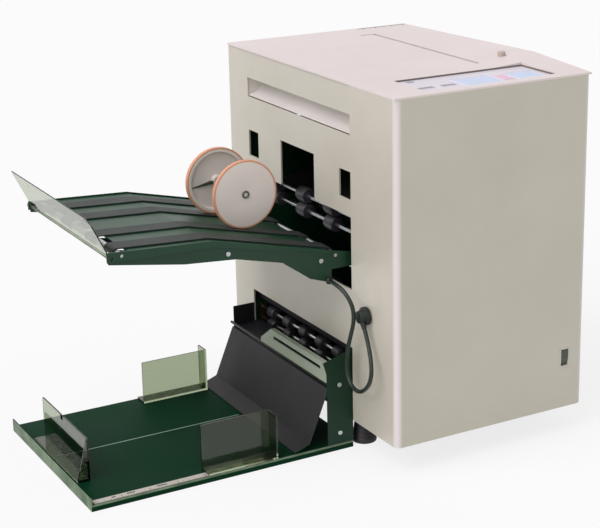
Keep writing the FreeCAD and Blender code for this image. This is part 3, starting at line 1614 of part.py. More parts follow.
save("base_pan", base_pan())
save("feet", feet())
save("front_cover", front_cover())
save("delivery_panel", delivery_panel())
save("grip_pan", grip_pan())
save("rear_cover", rear_cover())
save("side_cover", side_cover())
save("top_cover", top_cover())
save("top_lid", top_lid())
save("lid_hinge_brackets", lid_hinge_brackets())
save("lid_latch", lid_latch())
save("control_panel", control_panel())
save("display_windows", display_windows())
for number, shares in enumerate(key_shares, 1):
    save("key_" + str(number), key(shares))
save("switch_frame", switch_frame())
save("switch_rocker", switch_rocker())
save("frame_plates", [frame_plate_at(near_plate_y - frame_plate, cover_sheet),
                      frame_plate_at(far_plate_y, panel_inner_x)])
save("bearing_bushes", bearing_bushes())
save("tie_bars", tie_bars())
save("paper_guides", paper_guides())
save("sheet_gate", sheet_gate())
save("knife_blade", knife_blade())
save("knife_carriage", knife_carriage())
save("knife_rails", knife_rails())
save("knife_pinion", knife_pinion())
save("gear_motors", gear_motors())
save("fold_roller_lower", join(fold_roller(lower_fold_z, gear_start_y(), pulley_end_y())
                               + pulley(fold_x, lower_fold_z, fold_radius * pulley_share)))
save("fold_roller_upper", join(fold_roller(upper_fold_z, gear_start_y(),
                                           far_plate_y + frame_plate + gear_clear)))
for name, z, turn in (("fold_gear_lower", lower_fold_z, 0),
                      ("fold_gear_upper", upper_fold_z, math.pi + math.pi / gear_teeth)):
    wheel = gear(fold_x, z, gear_teeth, gear_module, gear_start_y(), gear_start_y() + gear_width, turn)
    bore = rod_y(fold_x, z, fold_journal_radius, gear_start_y() - cut_over, near_plate_y)
    save(name, wheel.cut(bore))
save("drive_belt", drive_belt())
save("drive_motor", drive_motor())
save("motor_rotor", motor_rotor())
exit_pairs = [
    ("booklet_exit", booklet_radius, booklet_tyre_count, booklet_tyre_width),
    ("sheet_exit", sheet_radius, sheet_tyre_count, sheet_tyre_width),
]
driven_places = shaft_places()[2::2]
idle_places = shaft_places()[3::2]
for (name, radius, count, width), driven, idle in zip(exit_pairs, driven_places, idle_places):
    x, z, _ = driven
    save(name + "_roller", join(exit_roller(x, z, radius, count, width, pulley_end_y())
                                + pulley(x, z, radius * pulley_share)))
    x, z, _ = idle
    save(name + "_idler", join(exit_roller(x, z, radius, count, width,
                                           far_plate_y + frame_plate + gear_clear)))
save("chute", chute())
save("crossbar", crossbar())
save("low_tray", low_tray())
save("near_side_guide", side_guide(-1, near_guide_left_x))
save("far_side_guide", side_guide(1, far_guide_left_x))
save("end_stop", end_stop())
save("belt_tray", belt_tray_sides() + [belt_tray_bed()])
save("tray_belts", tray_belts())
save("belt_roller_inner", belt_roller(0))
save("belt_roller_outer", belt_roller(2))
save("end_plate", end_plate())
save("press_axle", press_axle())
save("press_discs", press_discs())
save("press_tyres", press_tyres())
save("cable", cable())
save("cable_gland", cable_gland())
save("cable_plug", cable_plug())
save("mains_inlet", mains_inlet())
save("electrics", electrics())
save("cover_screws", cover_screws())
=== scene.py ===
import math

import bmesh
import bpy
import numpy as np
from mathutils import Matrix, Vector


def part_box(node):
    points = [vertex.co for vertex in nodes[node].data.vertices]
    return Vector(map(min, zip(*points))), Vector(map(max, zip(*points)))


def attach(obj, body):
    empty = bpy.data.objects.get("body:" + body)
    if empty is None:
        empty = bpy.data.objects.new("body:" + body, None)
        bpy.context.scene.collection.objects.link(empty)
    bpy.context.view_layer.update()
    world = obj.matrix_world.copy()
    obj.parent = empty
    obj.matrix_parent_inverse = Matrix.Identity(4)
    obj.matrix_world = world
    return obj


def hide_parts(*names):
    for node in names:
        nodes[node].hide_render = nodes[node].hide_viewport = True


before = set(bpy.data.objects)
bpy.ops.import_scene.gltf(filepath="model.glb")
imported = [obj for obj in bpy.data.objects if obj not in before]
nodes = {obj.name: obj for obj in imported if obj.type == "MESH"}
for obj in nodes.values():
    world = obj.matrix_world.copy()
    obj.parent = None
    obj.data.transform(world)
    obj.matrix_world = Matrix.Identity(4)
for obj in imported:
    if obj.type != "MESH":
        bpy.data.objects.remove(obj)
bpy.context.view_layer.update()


# Camera
# A long lens to the left of the operator's side and a little above the deck, held almost level. The
# picture is cut from a wider one, so the lens is shifted a little.
view_azimuth = math.radians(-29.98)
view_elevation = math.radians(16.88)
view_roll = math.radians(-0.71)
view_distance = 2.8786
view_target = Vector((0.1071, -0.0537, 0.3539))
away = Vector((math.sin(view_azimuth) * math.cos(view_elevation),
               -math.cos(view_azimuth) * math.cos(view_elevation), math.sin(view_elevation)))
level = Vector((0, 0, 1)).cross(away).normalized()
upright = away.cross(level)
across = level * math.cos(view_roll) + upright * math.sin(view_roll)
above = upright * math.cos(view_roll) - level * math.sin(view_roll)
picture_width = 600
shift_right, shift_up = -50, -29
lens = bpy.data.cameras.new("camera")
lens.lens = 97.7
lens.sensor_width = 36.0
lens.shift_x = shift_right / picture_width
lens.shift_y = shift_up / picture_width
lens.clip_end = 50.0
camera = bpy.data.objects.new("camera", lens)
camera.matrix_world = Matrix.Translation(view_target + away * view_distance) @ Matrix(
    (across, above, away)).transposed().to_4x4()
bpy.context.scene.collection.objects.link(camera)
bpy.context.scene.camera = camera
bpy.context.scene.view_settings.view_transform = "Standard"


# Tray cable
# A round PVC-sheathed cable that feeds the motor of the belt tray. It comes out of a gland in the
# tray's side, hangs in a loop beside the cabinet and turns up into the plug on the front cover.
def linear(colour):
    """The linear light of an sRGB hex colour, as (red, green, blue, 1)."""
    shares = np.array([int(colour[i:i + 2], 16) for i in (0, 2, 4)]) / 255
    light = np.where(shares <= 0.04045, shares / 12.92, ((shares + 0.055) / 1.055) ** 2.4)
    return (*light.tolist(), 1.0)


def add(tree, kind, inputs, **settings):
    """Adds a shader node with its settings. Each input gets a value, or the output that feeds it."""
    made = tree.nodes.new("ShaderNode" + kind)
    for name, value in settings.items():
        setattr(made, name, value)
    for name, value in inputs.items():
        if isinstance(value, bpy.types.NodeSocket):
            tree.links.new(value, made.inputs[name])
        else:
            made.inputs[name].default_value = value
    return made


def blank(name):
    """An empty material and its node tree."""
    material = bpy.data.materials.new(name)
    material.use_nodes = True
    material.node_tree.nodes.clear()
    return material, material.node_tree


def moulded(name, colour, worn, roughness, grain, depth):
    """Moulded or extruded plastic or rubber. Grain is the texture's size and depth its height, in
    metres; worn is the colour of the slightly faded patches, a hand's width across."""
    material, tree = blank(name)
    place = add(tree, "TexCoord", {}).outputs["Object"]
    patches = add(tree, "TexNoise", {"Vector": place, "Scale": 12.0, "Detail": 3.0})
    tint = add(tree, "Mix", {"Factor": patches.outputs["Fac"], "A": linear(colour), "B": linear(worn)},
               data_type="RGBA")
    fine = add(tree, "TexNoise", {"Vector": place, "Scale": 1 / grain, "Detail": 2.0})
    bump = add(tree, "Bump", {"Height": fine.outputs["Fac"], "Strength": 0.6, "Distance": depth})
    rough = add(tree, "MapRange", {"Value": patches.outputs["Fac"], "From Min": 0.3, "From Max": 0.7,
                                   "To Min": roughness - 0.05, "To Max": roughness + 0.05})
    shader = add(tree, "BsdfPrincipled", {
        "Base Color": tint.outputs["Result"], "Roughness": rough.outputs["Result"], "IOR": 1.5,
        "Normal": bump.outputs["Normal"]})
    add(tree, "OutputMaterial", {"Surface": shader.outputs["BSDF"]})
    return material


# PVC sheath: extruded, so smooth and satin, with a soft highlight along it.
cable_sheath = moulded("pvc_sheath", "08180f", "0e2318", 0.4, 0.0012, 0.00004)
cable_diameter = 0.0072
cable_route = [
    (0.012, -0.15025, 0.312), (0.013, -0.17025, 0.311), (0.018, -0.19125, 0.301), (0.023, -0.20625, 0.281),
    (0.026, -0.20425, 0.253), (0.026, -0.19225, 0.224), (0.026, -0.18125, 0.196), (0.026, -0.17625, 0.168),
    (0.026, -0.17825, 0.148), (0.026, -0.19325, 0.132), (0.026, -0.21625, 0.129), (0.026, -0.23825, 0.140),
    (0.027, -0.25425, 0.159), (0.029, -0.25725, 0.184), (0.037, -0.23238, 0.22094),
    (0.037, -0.21975, 0.24281),
]
cable_curve = bpy.data.curves.new("tray_cable", "CURVE")
cable_curve.dimensions = "3D"
cable_curve.bevel_depth = cable_diameter / 2
cable_curve.bevel_resolution = 6
cable_curve.resolution_u = 12
cable_curve.use_fill_caps = True
cable_line = cable_curve.splines.new("NURBS")
cable_line.points.add(len(cable_route) - 1)
cable_line.points.foreach_set("co", np.array([(*p, 1.0) for p in cable_route]).ravel())
cable_line.order_u = 3
cable_line.use_endpoint_u = True
cable = bpy.data.objects.new("tray_cable", cable_curve)
bpy.context.scene.collection.objects.link(cable)
cable_curve.materials.append(cable_sheath)
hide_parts("cable")
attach(cable, "machine")


# Plug of the tray cable
# A round right-angle connector moulded in black nylon. A knurled ring screws it to its socket, and a
# ribbed neck lets the cable bend as it leaves.
def skin(name, grids, material, body, closed_rows=False, closed_columns=True, crease=35.0):
    """A mesh over grids of points, each (rows, columns, 3). Each cell of four neighbours is a face, and
    rows or columns that close join their last points to the first. Points that coincide, as at a
    pole, become one, and faces point outwards."""
    points, faces, start = [], [], 0
    for grid in grids:
        rows, columns = grid.shape[:2]
        i = np.arange(rows if closed_rows else rows - 1)[:, None]
        j = np.arange(columns if closed_columns else columns - 1)[None, :]
        k, m = (i + 1) % rows, (j + 1) % columns
        cells = np.stack([i * columns + j, i * columns + m, k * columns + m, k * columns + j], axis=-1)
        points.append(grid.reshape(-1, 3))
        faces.append(start + cells.reshape(-1, 4))
        start += rows * columns
    mesh = bpy.data.meshes.new(name)
    mesh.from_pydata(np.concatenate(points).tolist(), [], np.concatenate(faces).tolist())
    work = bmesh.new()
    work.from_mesh(mesh)
    bmesh.ops.remove_doubles(work, verts=work.verts, dist=1e-7)
    bmesh.ops.recalc_face_normals(work, faces=work.faces)
    work.to_mesh(mesh)
    work.free()
    mesh.shade_smooth()
    mesh.set_sharp_from_angle(angle=math.radians(crease))
    mesh.materials.append(material)
    piece = bpy.data.objects.new(name, mesh)
    bpy.context.scene.collection.objects.link(piece)
    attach(piece, body)
    return piece


def eased(corners, radius, closed=False, steps=5):
    """A polyline with its corners rounded. Each corner becomes the parabola between the two points
    that lie one radius from it, or less where its sides are short. Radius is one number or one for
    each corner."""
    corners = np.array(corners, float)
    radius = np.broadcast_to(np.reshape(radius, (-1, 1)), (len(corners), 1))
    before, after = np.roll(corners, 1, 0), np.roll(corners, -1, 0)
    back, on = before - corners, after - corners
    back_length = np.linalg.norm(back, axis=1, keepdims=True)
    on_length = np.linalg.norm(on, axis=1, keepdims=True)
    start = corners + back / back_length * np.minimum(radius, back_length / 2)
    end = corners + on / on_length * np.minimum(radius, on_length / 2)
    if not closed:
        start[0] = end[0] = corners[0]
        start[-1] = end[-1] = corners[-1]
    t = np.linspace(0, 1, steps)[None, :, None]
    curve = (1 - t) ** 2 * start[:, None] + 2 * t * (1 - t) * corners[:, None] + t ** 2 * end[:, None]
    return curve.reshape(-1, corners.shape[1])


def turned(profile, origin, axis, steps=96, ripples=0, depth=0.0, band=(0.0, 0.0)):
    """A surface of revolution as a grid: row i is the circle at height h along the axis and at radius r
    of profile point (h, r). Within the band of heights, depth times cos(ripples * angle) is added."""
    axis = Vector(axis).normalized()
    side = axis.orthogonal().normalized()
    other = axis.cross(side)
    height, radius = np.array(profile, float).T
    angle = np.linspace(0, 2 * np.pi, steps, endpoint=False)
    inside = (height > band[0]) & (height < band[1])
    reach = radius[:, None] + inside[:, None] * depth * np.cos(ripples * angle)[None, :]
    ring = np.cos(angle)[:, None] * np.array(side) + np.sin(angle)[:, None] * np.array(other)
    return np.array(origin) + height[:, None, None] * np.array(axis) + reach[:, :, None] * ring[None, :, :]


# Glass-filled nylon: moulded, near black, matt where it is held.
plug_nylon = moulded("glass_filled_nylon", "0c1813", "15231c", 0.45, 0.0006, 0.00005)
plug_axis_y, plug_axis_z = -0.20925, 0.261
plug_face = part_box("cable_plug")[1].x
drum_length = 0.019
seat_radius, knurl_radius, back_radius, end_radius = 0.0105, 0.0155, 0.0112, 0.0108
knurl_start, knurl_end = 0.0015, 0.0095
drum = eased([(0, 0), (0, seat_radius), (knurl_start, seat_radius), (knurl_start, knurl_radius),
              (knurl_end, knurl_radius), (knurl_end, back_radius), (drum_length, end_radius),
              (drum_length, 0)], 0.0012)
drum_grid = turned(drum, (plug_face, plug_axis_y, plug_axis_z), (-1, 0, 0), steps=144, ripples=36,
                   depth=0.0005, band=(0.0022, 0.0088))
plug = skin("plug_drum", [drum_grid], plug_nylon, "machine")
neck_lean = math.radians(30)
neck_length = 0.021
neck_out = (0, -math.sin(neck_lean), -math.cos(neck_lean))
neck_x = 0.037
neck_root, neck_taper = 0.0060, 0.0016
neck_ribs, rib_depth, rib_start = 5, 0.0006, 0.009
neck_along = np.linspace(0, neck_length, 43)
neck_turn = neck_along / neck_length * neck_ribs * 2 * np.pi
neck_radius = neck_root - neck_taper * neck_along / neck_length
neck_radius -= rib_depth * (np.cos(neck_turn) > 0.2) * (neck_along > rib_start)
neck = np.concatenate([[(0, 0)], np.stack([neck_along, neck_radius], axis=1), [(neck_length, 0)]])
neck_grid = turned(neck, (neck_x, plug_axis_y, plug_axis_z), neck_out, steps=48)
plug_neck = skin("plug_neck", [neck_grid], plug_nylon, "machine")
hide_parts("cable_plug")


# Gland of the tray cable
# A moulded nut screwed into the side plate of the belt tray, six-sided at its foot and domed where it
# closes on the cable.
gland_low, gland_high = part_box("cable_gland")
gland_foot = ((gland_low.x + gland_high.x) / 2, gland_high.y, (gland_low.z + gland_high.z) / 2)
nut_radius, nut_height, dome_height = 0.0064, 0.0032, 0.006
gland_profile = eased([(0, 0), (0, nut_radius), (nut_height, nut_radius), (0.0036, 0.0058),
                       (0.0052, 0.0052), (dome_height, 0.004), (dome_height, 0)], 0.0004)
gland_grid = turned(gland_profile, gland_foot, (0, -1, 0), ripples=6, depth=0.0004, band=(-0.001, 0.0034))
gland = skin("cable_nut", [gland_grid], plug_nylon, "machine")
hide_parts("cable_gland")


# Floor, backdrop and light
# A pale table top that runs on as the backdrop, under one broad soft lamp from the upper left, a weak
# low one beside the camera, and even light from all round. The ground is white, and keeps a faint shadow.
def seen_share(tree):
    """1 for what the eye sees, straight, mirrored or through glass, and 0 for light that falls."""
    path = add(tree, "LightPath", {})
    seen = add(tree, "Math", {0: path.outputs["Is Camera Ray"], 1: path.outputs["Is Glossy Ray"]},
               operation="MAXIMUM")
    return add(tree, "Math", {0: seen.outputs[0], 1: path.outputs["Is Transmission Ray"]},
               operation="MAXIMUM").outputs[0]


def ground():
    """The floor's material: matt and pale for light, almost white for the eye and for reflections."""
    material, tree = blank("pale_floor")
    share = add(tree, "Math", {0: seen_share(tree), 1: 0.8}, operation="MULTIPLY")
    matt = add(tree, "BsdfDiffuse", {"Color": linear("f2f1ee")})
    glow = add(tree, "Emission", {"Color": (1, 1, 1, 1), "Strength": 1.0})
    mix = add(tree, "MixShader", {0: share.outputs[0], 1: matt.outputs[0], 2: glow.outputs[0]})
    add(tree, "OutputMaterial", {"Surface": mix.outputs[0]})
    return material


floor_reach = 12.0
floor_mesh = bpy.data.meshes.new("floor")
floor_mesh.from_pydata([(-floor_reach, -floor_reach, 0), (floor_reach, -floor_reach, 0),
                        (floor_reach, floor_reach, 0), (-floor_reach, floor_reach, 0)], [], [(0, 1, 2, 3)])
floor_mesh.materials.append(ground())
floor = bpy.data.objects.new("floor", floor_mesh)
bpy.context.scene.collection.objects.link(floor)
lamp_colour = (1.0, 0.91, 1.03)
for name, energy, angle, way in (("broad_lamp", 2.0, 50, (0.62, 0.08, -0.78)),
                                 ("low_lamp", 0.25, 20, (0.80, 0.55, -0.22))):
    lamp_data = bpy.data.lights.new(name, "SUN")
    lamp_data.energy = energy
    lamp_data.angle = math.radians(angle)
    lamp_data.color = lamp_colour
    lamp = bpy.data.objects.new(name, lamp_data)
    lamp.rotation_euler = Vector(way).to_track_quat("-Z", "Y").to_euler()
    bpy.context.scene.collection.objects.link(lamp)
world = bpy.data.worlds.new("studio")
bpy.context.scene.world = world
world.use_nodes = True
sky = world.node_tree
sky.nodes.clear()
room_level = 0.47
sky_level = add(sky, "MapRange", {"Value": seen_share(sky), "To Min": room_level, "To Max": 1.0})
sky_light = add(sky, "Background", {"Color": (1, 1, 1, 1), "Strength": sky_level.outputs["Result"]})
add(sky, "OutputWorld", {"Surface": sky_light.outputs[0]})


# Cabinet covers
# Pressed steel sheet with a fine baked powder coat in warm grey: the deep front shell, the delivery
# panel, the side and the rear sheet. They are screwed to the base pan from behind.
def sprayed(tree, place, tint, drift, smoothest, roughest, shine):
    """The face of a sprayed and baked coat: a tint, fine orange peel, drawn at 1.6 mm so that it
    shows, and a gloss that drifts between its smoothest and roughest with the tone."""
    peel = add(tree, "TexNoise", {"Vector": place, "Scale": 1 / 0.0016, "Detail": 1.5})
    bump = add(tree, "Bump", {"Height": peel.outputs["Fac"], "Strength": 0.35, "Distance": 0.00012})
    rough = add(tree, "MapRange", {"Value": drift.outputs["Fac"], "From Min": 0.3, "From Max": 0.7,
                                   "To Min": smoothest, "To Max": roughest})
    shader = add(tree, "BsdfPrincipled", {
        "Base Color": tint.outputs["Result"], "Roughness": rough.outputs["Result"], "IOR": 1.5,
        "Specular IOR Level": shine, "Normal": bump.outputs["Normal"]})
    add(tree, "OutputMaterial", {"Surface": shader.outputs["BSDF"]})


def powder_coat(name, colour, shade, roughness, shine=0.5, painted_highlight=None, box=None, radius=0.0):
    """Baked powder coat on steel sheet, with a faint drift of tone over a hand's width. Over the upright
    corners of a shell's front, of the given radius, a painted highlight is mixed in: a paler colour that
    stands in for the light the rounded corners catch, most in the middle of each. Its share is twice the
    product of how far a point lies into the corner along X and along Y."""
    material, tree = blank(name)
    place = add(tree, "TexCoord", {}).outputs["Object"]
    drift = add(tree, "TexNoise", {"Vector": place, "Scale": 1 / 0.12, "Detail": 4.0, "Roughness": 0.6})
    spread = add(tree, "MapRange", {"Value": drift.outputs["Fac"], "From Min": 0.3, "From Max": 0.7})
    tint = add(tree, "Mix", {"Factor": spread.outputs["Result"], "A": linear(colour), "B": linear(shade)},
               data_type="RGBA")
    # Painted highlight: a paler colour over the rounded upright corners, for the light they catch.
    if painted_highlight:
        low, high = box
        axes = add(tree, "SeparateXYZ", {"Vector": place})
        into = [add(tree, "MapRange", {"Value": axes.outputs[axis], "From Min": edge, "From Max": flat,
                                       "To Min": 1.0, "To Max": 0.0}).outputs["Result"]
                for axis, edge, flat in (("X", low.x, low.x + radius), ("X", high.x, high.x - radius),
                                         ("Y", low.y, low.y + radius))]
        side = add(tree, "Math", {0: into[0], 1: into[1]}, operation="MAXIMUM").outputs[0]
        share = add(tree, "Math", {0: side, 1: into[2]}, operation="MULTIPLY").outputs[0]
        share = add(tree, "Math", {0: share, 1: 2.0}, operation="MULTIPLY", use_clamp=True).outputs[0]
        tint = add(tree, "Mix", {"Factor": share, "A": tint.outputs["Result"], "B": linear(painted_highlight)},
                   data_type="RGBA")
    sprayed(tree, place, tint, drift, roughness - 0.04, roughness + 0.05, shine)
    return material


def finish(material, *names):
    """Gives solids of the frame their surface."""
    for name in names:
        for place in nodes[name].material_slots:
            place.material = material


cover_coat = ("c6c4b3", "c1bfac", 0.33, 0.75)
finish(powder_coat("warm_grey_powder_coat", *cover_coat), "delivery_panel", "side_cover", "rear_cover")
corner_radius = 0.012
# The front shell's rounded corners carry a painted highlight, a paler colour mixed into the coat.
finish(powder_coat("warm_grey_coat_painted_highlight", *cover_coat, painted_highlight="dcd8d4", box=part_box("front_cover"),
                   radius=corner_radius), "front_cover")


# Top deck and lid
# The same sheet and coat as the covers, given a lighter colour as painted light: the paler tone stands
# in for the stronger light that falls on the top. The lid beside the slot lifts on two pins at the rear,
# and a push latch near the operator holds it down.
finish(powder_coat("top_coat_painted_light", "e1d8d2", "ddd4ce", 0.48), "top_cover", "top_lid")


# Grip pan and paper guides
# Folded sheet. The pan is coated a tone paler than the covers, and the guides are flat black, so that
# light from the openings isn't thrown back on the paper.
finish(powder_coat("flat_black_coat", "19191b", "1f1f21", 0.65, shine=0.25), "paper_guides")
finish(powder_coat("grip_coat", "e5e2da", "dbd8cf", 0.5), "grip_pan")


# Frame plates, base pan and belt tray
# Cut and folded sheet steel in a dark green enamel, sprayed and stoved, with a low shine. The frame
# plates carry every shaft of the works, and the belt tray hooks over a bar between them.
finish(powder_coat("dark_green_enamel", "07331d", "0b3a23", 0.4, shine=0.4), "frame_plates", "base_pan",
       "belt_tray")


# Chute
# Two upright plates screwed to the cabinet, and the bent sheet between them that leads the paper down.
# The near plate is enamelled green like the trays, and the rest is flat black.
def two_coats(name, axis, limit, below, above, roughness):
    """Two enamels on one piece: one colour below a limit along an axis, and another above it."""
    material, tree = blank(name)
    place = add(tree, "TexCoord", {}).outputs["Object"]
    axes = add(tree, "SeparateXYZ", {"Vector": place})
    past = add(tree, "Math", {0: axes.outputs[axis], 1: limit}, operation="GREATER_THAN")
    tint = add(tree, "Mix", {"Factor": past.outputs[0], "A": linear(below), "B": linear(above)},
               data_type="RGBA")
    drift = add(tree, "TexNoise", {"Vector": place, "Scale": 1 / 0.1, "Detail": 4.0})
    sprayed(tree, place, tint, drift, roughness - 0.05, roughness + 0.05, 0.3)
    return material


chute_near_face = -0.1499
finish(two_coats("chute_enamel", "Y", chute_near_face, "042c19", "1c1c1f", 0.5), "chute")


# Low tray
# One sheet of steel with its long edges turned down over a small radius, a pressed groove along it and
# a plate with a lip spot-welded across each end, all in the same enamel, deeper in colour.
def pressed(name, grids, thickness, material, body):
    """Sheet metal: a surface given its thickness to both sides, with its cut edges broken."""
    broken_share = 0.15
    piece = skin(name, grids, material, body, closed_columns=False)
    wall = piece.modifiers.new("wall", "SOLIDIFY")
    wall.thickness = thickness
    wall.offset = 0
    edges = piece.modifiers.new("broken_edges", "BEVEL")
    edges.width = thickness * broken_share
    edges.segments = 2
    edges.limit_method = "ANGLE"
    edges.angle_limit = math.radians(50)
    return piece


def bar(profile, stations):
    """A closed profile carried straight along X, as rows at the given stations. Both ends close on the
    middle of the profile."""
    profile = np.array(profile, float)
    middle = profile.mean(axis=0, keepdims=True)
    rows = [np.broadcast_to(middle, profile.shape)] + [profile] * len(stations)
    rows += [np.broadcast_to(middle, profile.shape)]
    places = np.concatenate([stations[:1], stations, stations[-1:]])
    cut = np.stack(rows)
    along = np.broadcast_to(places[:, None, None], (*cut.shape[:2], 1))
    return np.concatenate([along, cut], axis=2)


tray_low, tray_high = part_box("low_tray")
tray_steel = 0.002
tray_top = 0.011
tray_fold = 0.004
groove_y = 0.05575
groove_start, groove_end = -0.428, -0.064
groove_ramp = 0.006
groove_depth, groove_round = 0.0008, 0.0008
half_sheet = tray_steel / 2
near_y, far_y, skin_z = tray_low.y + half_sheet, tray_high.y - half_sheet, tray_top - half_sheet
groove_shape = [(-0.0028, 0.0), (-0.0014, -groove_depth), (0.0014, -groove_depth), (0.0028, 0.0)]


def tray_section(depth):
    """The tray's cut across: down, over and down again, with the groove at a share of its depth."""
    middle = [(groove_y + y, skin_z + z * depth) for y, z in groove_shape]
    return eased([(near_y, 0), (near_y, skin_z), *middle, (far_y, skin_z), (far_y, 0)],
                 [0, tray_fold, *[groove_round] * 4, tray_fold, 0], steps=7)


tray_x = np.concatenate([[tray_low.x + tray_steel],
                         np.linspace(groove_start, groove_start + groove_ramp, 9),
                         np.linspace(groove_end - groove_ramp, groove_end, 9), [tray_high.x - tray_steel]])
groove_run = np.clip(np.minimum(tray_x - groove_start, groove_end - tray_x) / groove_ramp, 0, 1)
groove_share = (groove_run ** 2 * (3 - 2 * groove_run))[:, None, None]
tray_cut = (1 - groove_share) * tray_section(0)[None] + groove_share * tray_section(1)[None]
tray_along = np.broadcast_to(tray_x[:, None, None], (*tray_cut.shape[:2], 1))
tray_sheet = np.concatenate([tray_along, tray_cut], axis=2)


def cross_plate(x, top):
    """An upright plate across the tray, from the floor to its top, as two rows of two points."""
    return np.array([[(x, tray_low.y, 0.0), (x, tray_high.y, 0.0)],
                     [(x, tray_low.y, top), (x, tray_high.y, top)]])


def enamel_with_painted_highlight(name, colour, shade, painted_highlight, lip, fold, roughness):
    """Stoved enamel: sprayed and baked, satin, of a deep colour that it keeps at a flat angle. The outer
    face of the end lip, up to X of lip, and the fold along the near edge, up to fold in Y and Z, carry a
    painted highlight: a paler colour, in blotches of a few centimetres, that stands in for the light
    these faces catch."""
    material, tree = blank(name)
    place = add(tree, "TexCoord", {}).outputs["Object"]
    axes = add(tree, "SeparateXYZ", {"Vector": place})
    outer = add(tree, "Math", {0: axes.outputs["X"], 1: lip}, operation="LESS_THAN").outputs[0]
    edge = add(tree, "Math", {0: axes.outputs["Y"], 1: fold[0]}, operation="LESS_THAN").outputs[0]
    upper = add(tree, "Math", {0: axes.outputs["Z"], 1: fold[1]}, operation="GREATER_THAN").outputs[0]
    folded = add(tree, "Math", {0: edge, 1: upper}, operation="MULTIPLY").outputs[0]
    # Painted highlight mask: the lip's outer face and the near fold.
    bare = add(tree, "Math", {0: outer, 1: folded}, operation="MAXIMUM").outputs[0]
    blotch = add(tree, "TexNoise", {"Vector": place, "Scale": 1 / 0.03, "Detail": 5.0})
    thin = add(tree, "MapRange", {"Value": blotch.outputs["Fac"], "From Min": 0.35, "From Max": 0.65,
                                  "To Min": 0.55, "To Max": 1.0}).outputs["Result"]
    share = add(tree, "Math", {0: bare, 1: thin}, operation="MULTIPLY").outputs[0]
    drift = add(tree, "TexNoise", {"Vector": place, "Scale": 1 / 0.12, "Detail": 4.0})
    deep = add(tree, "Mix", {"Factor": drift.outputs["Fac"], "A": linear(colour), "B": linear(shade)},
               data_type="RGBA")
    tint = add(tree, "Mix", {"Factor": share, "A": deep.outputs["Result"], "B": linear(painted_highlight)},
               data_type="RGBA")
    sprayed(tree, place, tint, drift, roughness - 0.04, roughness + 0.05, 0.07)
    return material


# Painted highlight: the end lip's outer face and the near fold are coloured paler, for the light they catch.
tray_enamel = enamel_with_painted_highlight("stoved_tray_enamel_painted_highlight", "002c17", "01331c", "7d8f76", tray_low.x + 0.0003,
                          (tray_low.y + 0.003, tray_top - 0.003), 0.6)
tray = pressed("tray_sheet", [tray_sheet, cross_plate(tray_low.x + half_sheet, tray_high.z),
                              cross_plate(tray_high.x - half_sheet, tray_top)],
               tray_steel, tray_enamel, "machine")
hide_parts("low_tray")
# Anodised aluminium: a drawn strip pressed into the groove, pale and satin, that the end stop slides on.
liner_near, liner_far = groove_y - 0.0012, groove_y + 0.0012
liner_low, liner_high = tray_top - 0.0006, tray_top + 0.0001
liner_cut = eased([(liner_near, liner_low), (liner_near, liner_high), (liner_far, liner_high),
                   (liner_far, liner_low)], 0.0003, closed=True)
liner_x = np.linspace(groove_start + groove_ramp, groove_end - groove_ramp, 3)
skin("groove_strip", [bar(liner_cut, liner_x)],
     moulded("anodised_strip", "7d9a86", "88a491", 0.35, 0.0006, 0.00002), "machine")


# Size strip on the low tray
# A printed polyester film, glued along the near edge, with a rule of fine lines and plain blocks that
# mark where sheets of the usual sizes end.
def printed_rule(name, film, ink, first, near):
    """Satin film with an ink pattern: a short line each 5 mm, a longer one each 10 mm, the longest and
    broadest each 50 mm, all from the near edge, and plain blocks of several widths over them."""
    material, tree = blank(name)
    place = add(tree, "TexCoord", {}).outputs["Object"]
    axes = add(tree, "SeparateXYZ", {"Vector": place})
    along = add(tree, "Math", {0: axes.outputs["X"], 1: first}, operation="SUBTRACT").outputs[0]
    inward = add(tree, "Math", {0: axes.outputs["Y"], 1: near}, operation="SUBTRACT").outputs[0]
    block_middle, block_half = 0.0085, 0.002
    marked = None
    for pitch, width, reach in ((0.005, 0.0006, 0.0035), (0.01, 0.0007, 0.0055), (0.05, 0.0012, 0.0085)):
        phase = add(tree, "Math", {0: along, 1: pitch}, operation="FLOORED_MODULO").outputs[0]
        line = add(tree, "Math", {0: phase, 1: width}, operation="LESS_THAN").outputs[0]
        short = add(tree, "Math", {0: inward, 1: reach}, operation="LESS_THAN").outputs[0]
        both = add(tree, "Math", {0: line, 1: short}, operation="MULTIPLY").outputs[0]
        if marked is not None:
            both = add(tree, "Math", {0: marked, 1: both}, operation="MAXIMUM").outputs[0]
        marked = both
    for middle, half in ((0.037, 0.0035), (0.068, 0.007), (0.123, 0.009), (0.217, 0.007), (0.247, 0.0045),
                         (0.278, 0.006)):
        side = add(tree, "Math", {0: along, 1: middle, 2: half}, operation="COMPARE").outputs[0]
        high = add(tree, "Math", {0: inward, 1: block_middle, 2: block_half},
                   operation="COMPARE").outputs[0]
        block = add(tree, "Math", {0: side, 1: high}, operation="MULTIPLY").outputs[0]
        marked = add(tree, "Math", {0: marked, 1: block}, operation="MAXIMUM").outputs[0]
    tint = add(tree, "Mix", {"Factor": marked, "A": linear(film), "B": linear(ink)}, data_type="RGBA")
    smears = add(tree, "TexNoise", {"Vector": place, "Scale": 1 / 0.02, "Detail": 4.0})
    rough = add(tree, "MapRange", {"Value": smears.outputs["Fac"], "From Min": 0.35, "From Max": 0.7,
                                   "To Min": 0.35, "To Max": 0.5})
    shader = add(tree, "BsdfPrincipled", {"Base Color": tint.outputs["Result"], "IOR": 1.5,
                                          "Roughness": rough.outputs["Result"]})
    add(tree, "OutputMaterial", {"Surface": shader.outputs["BSDF"]})
    return material


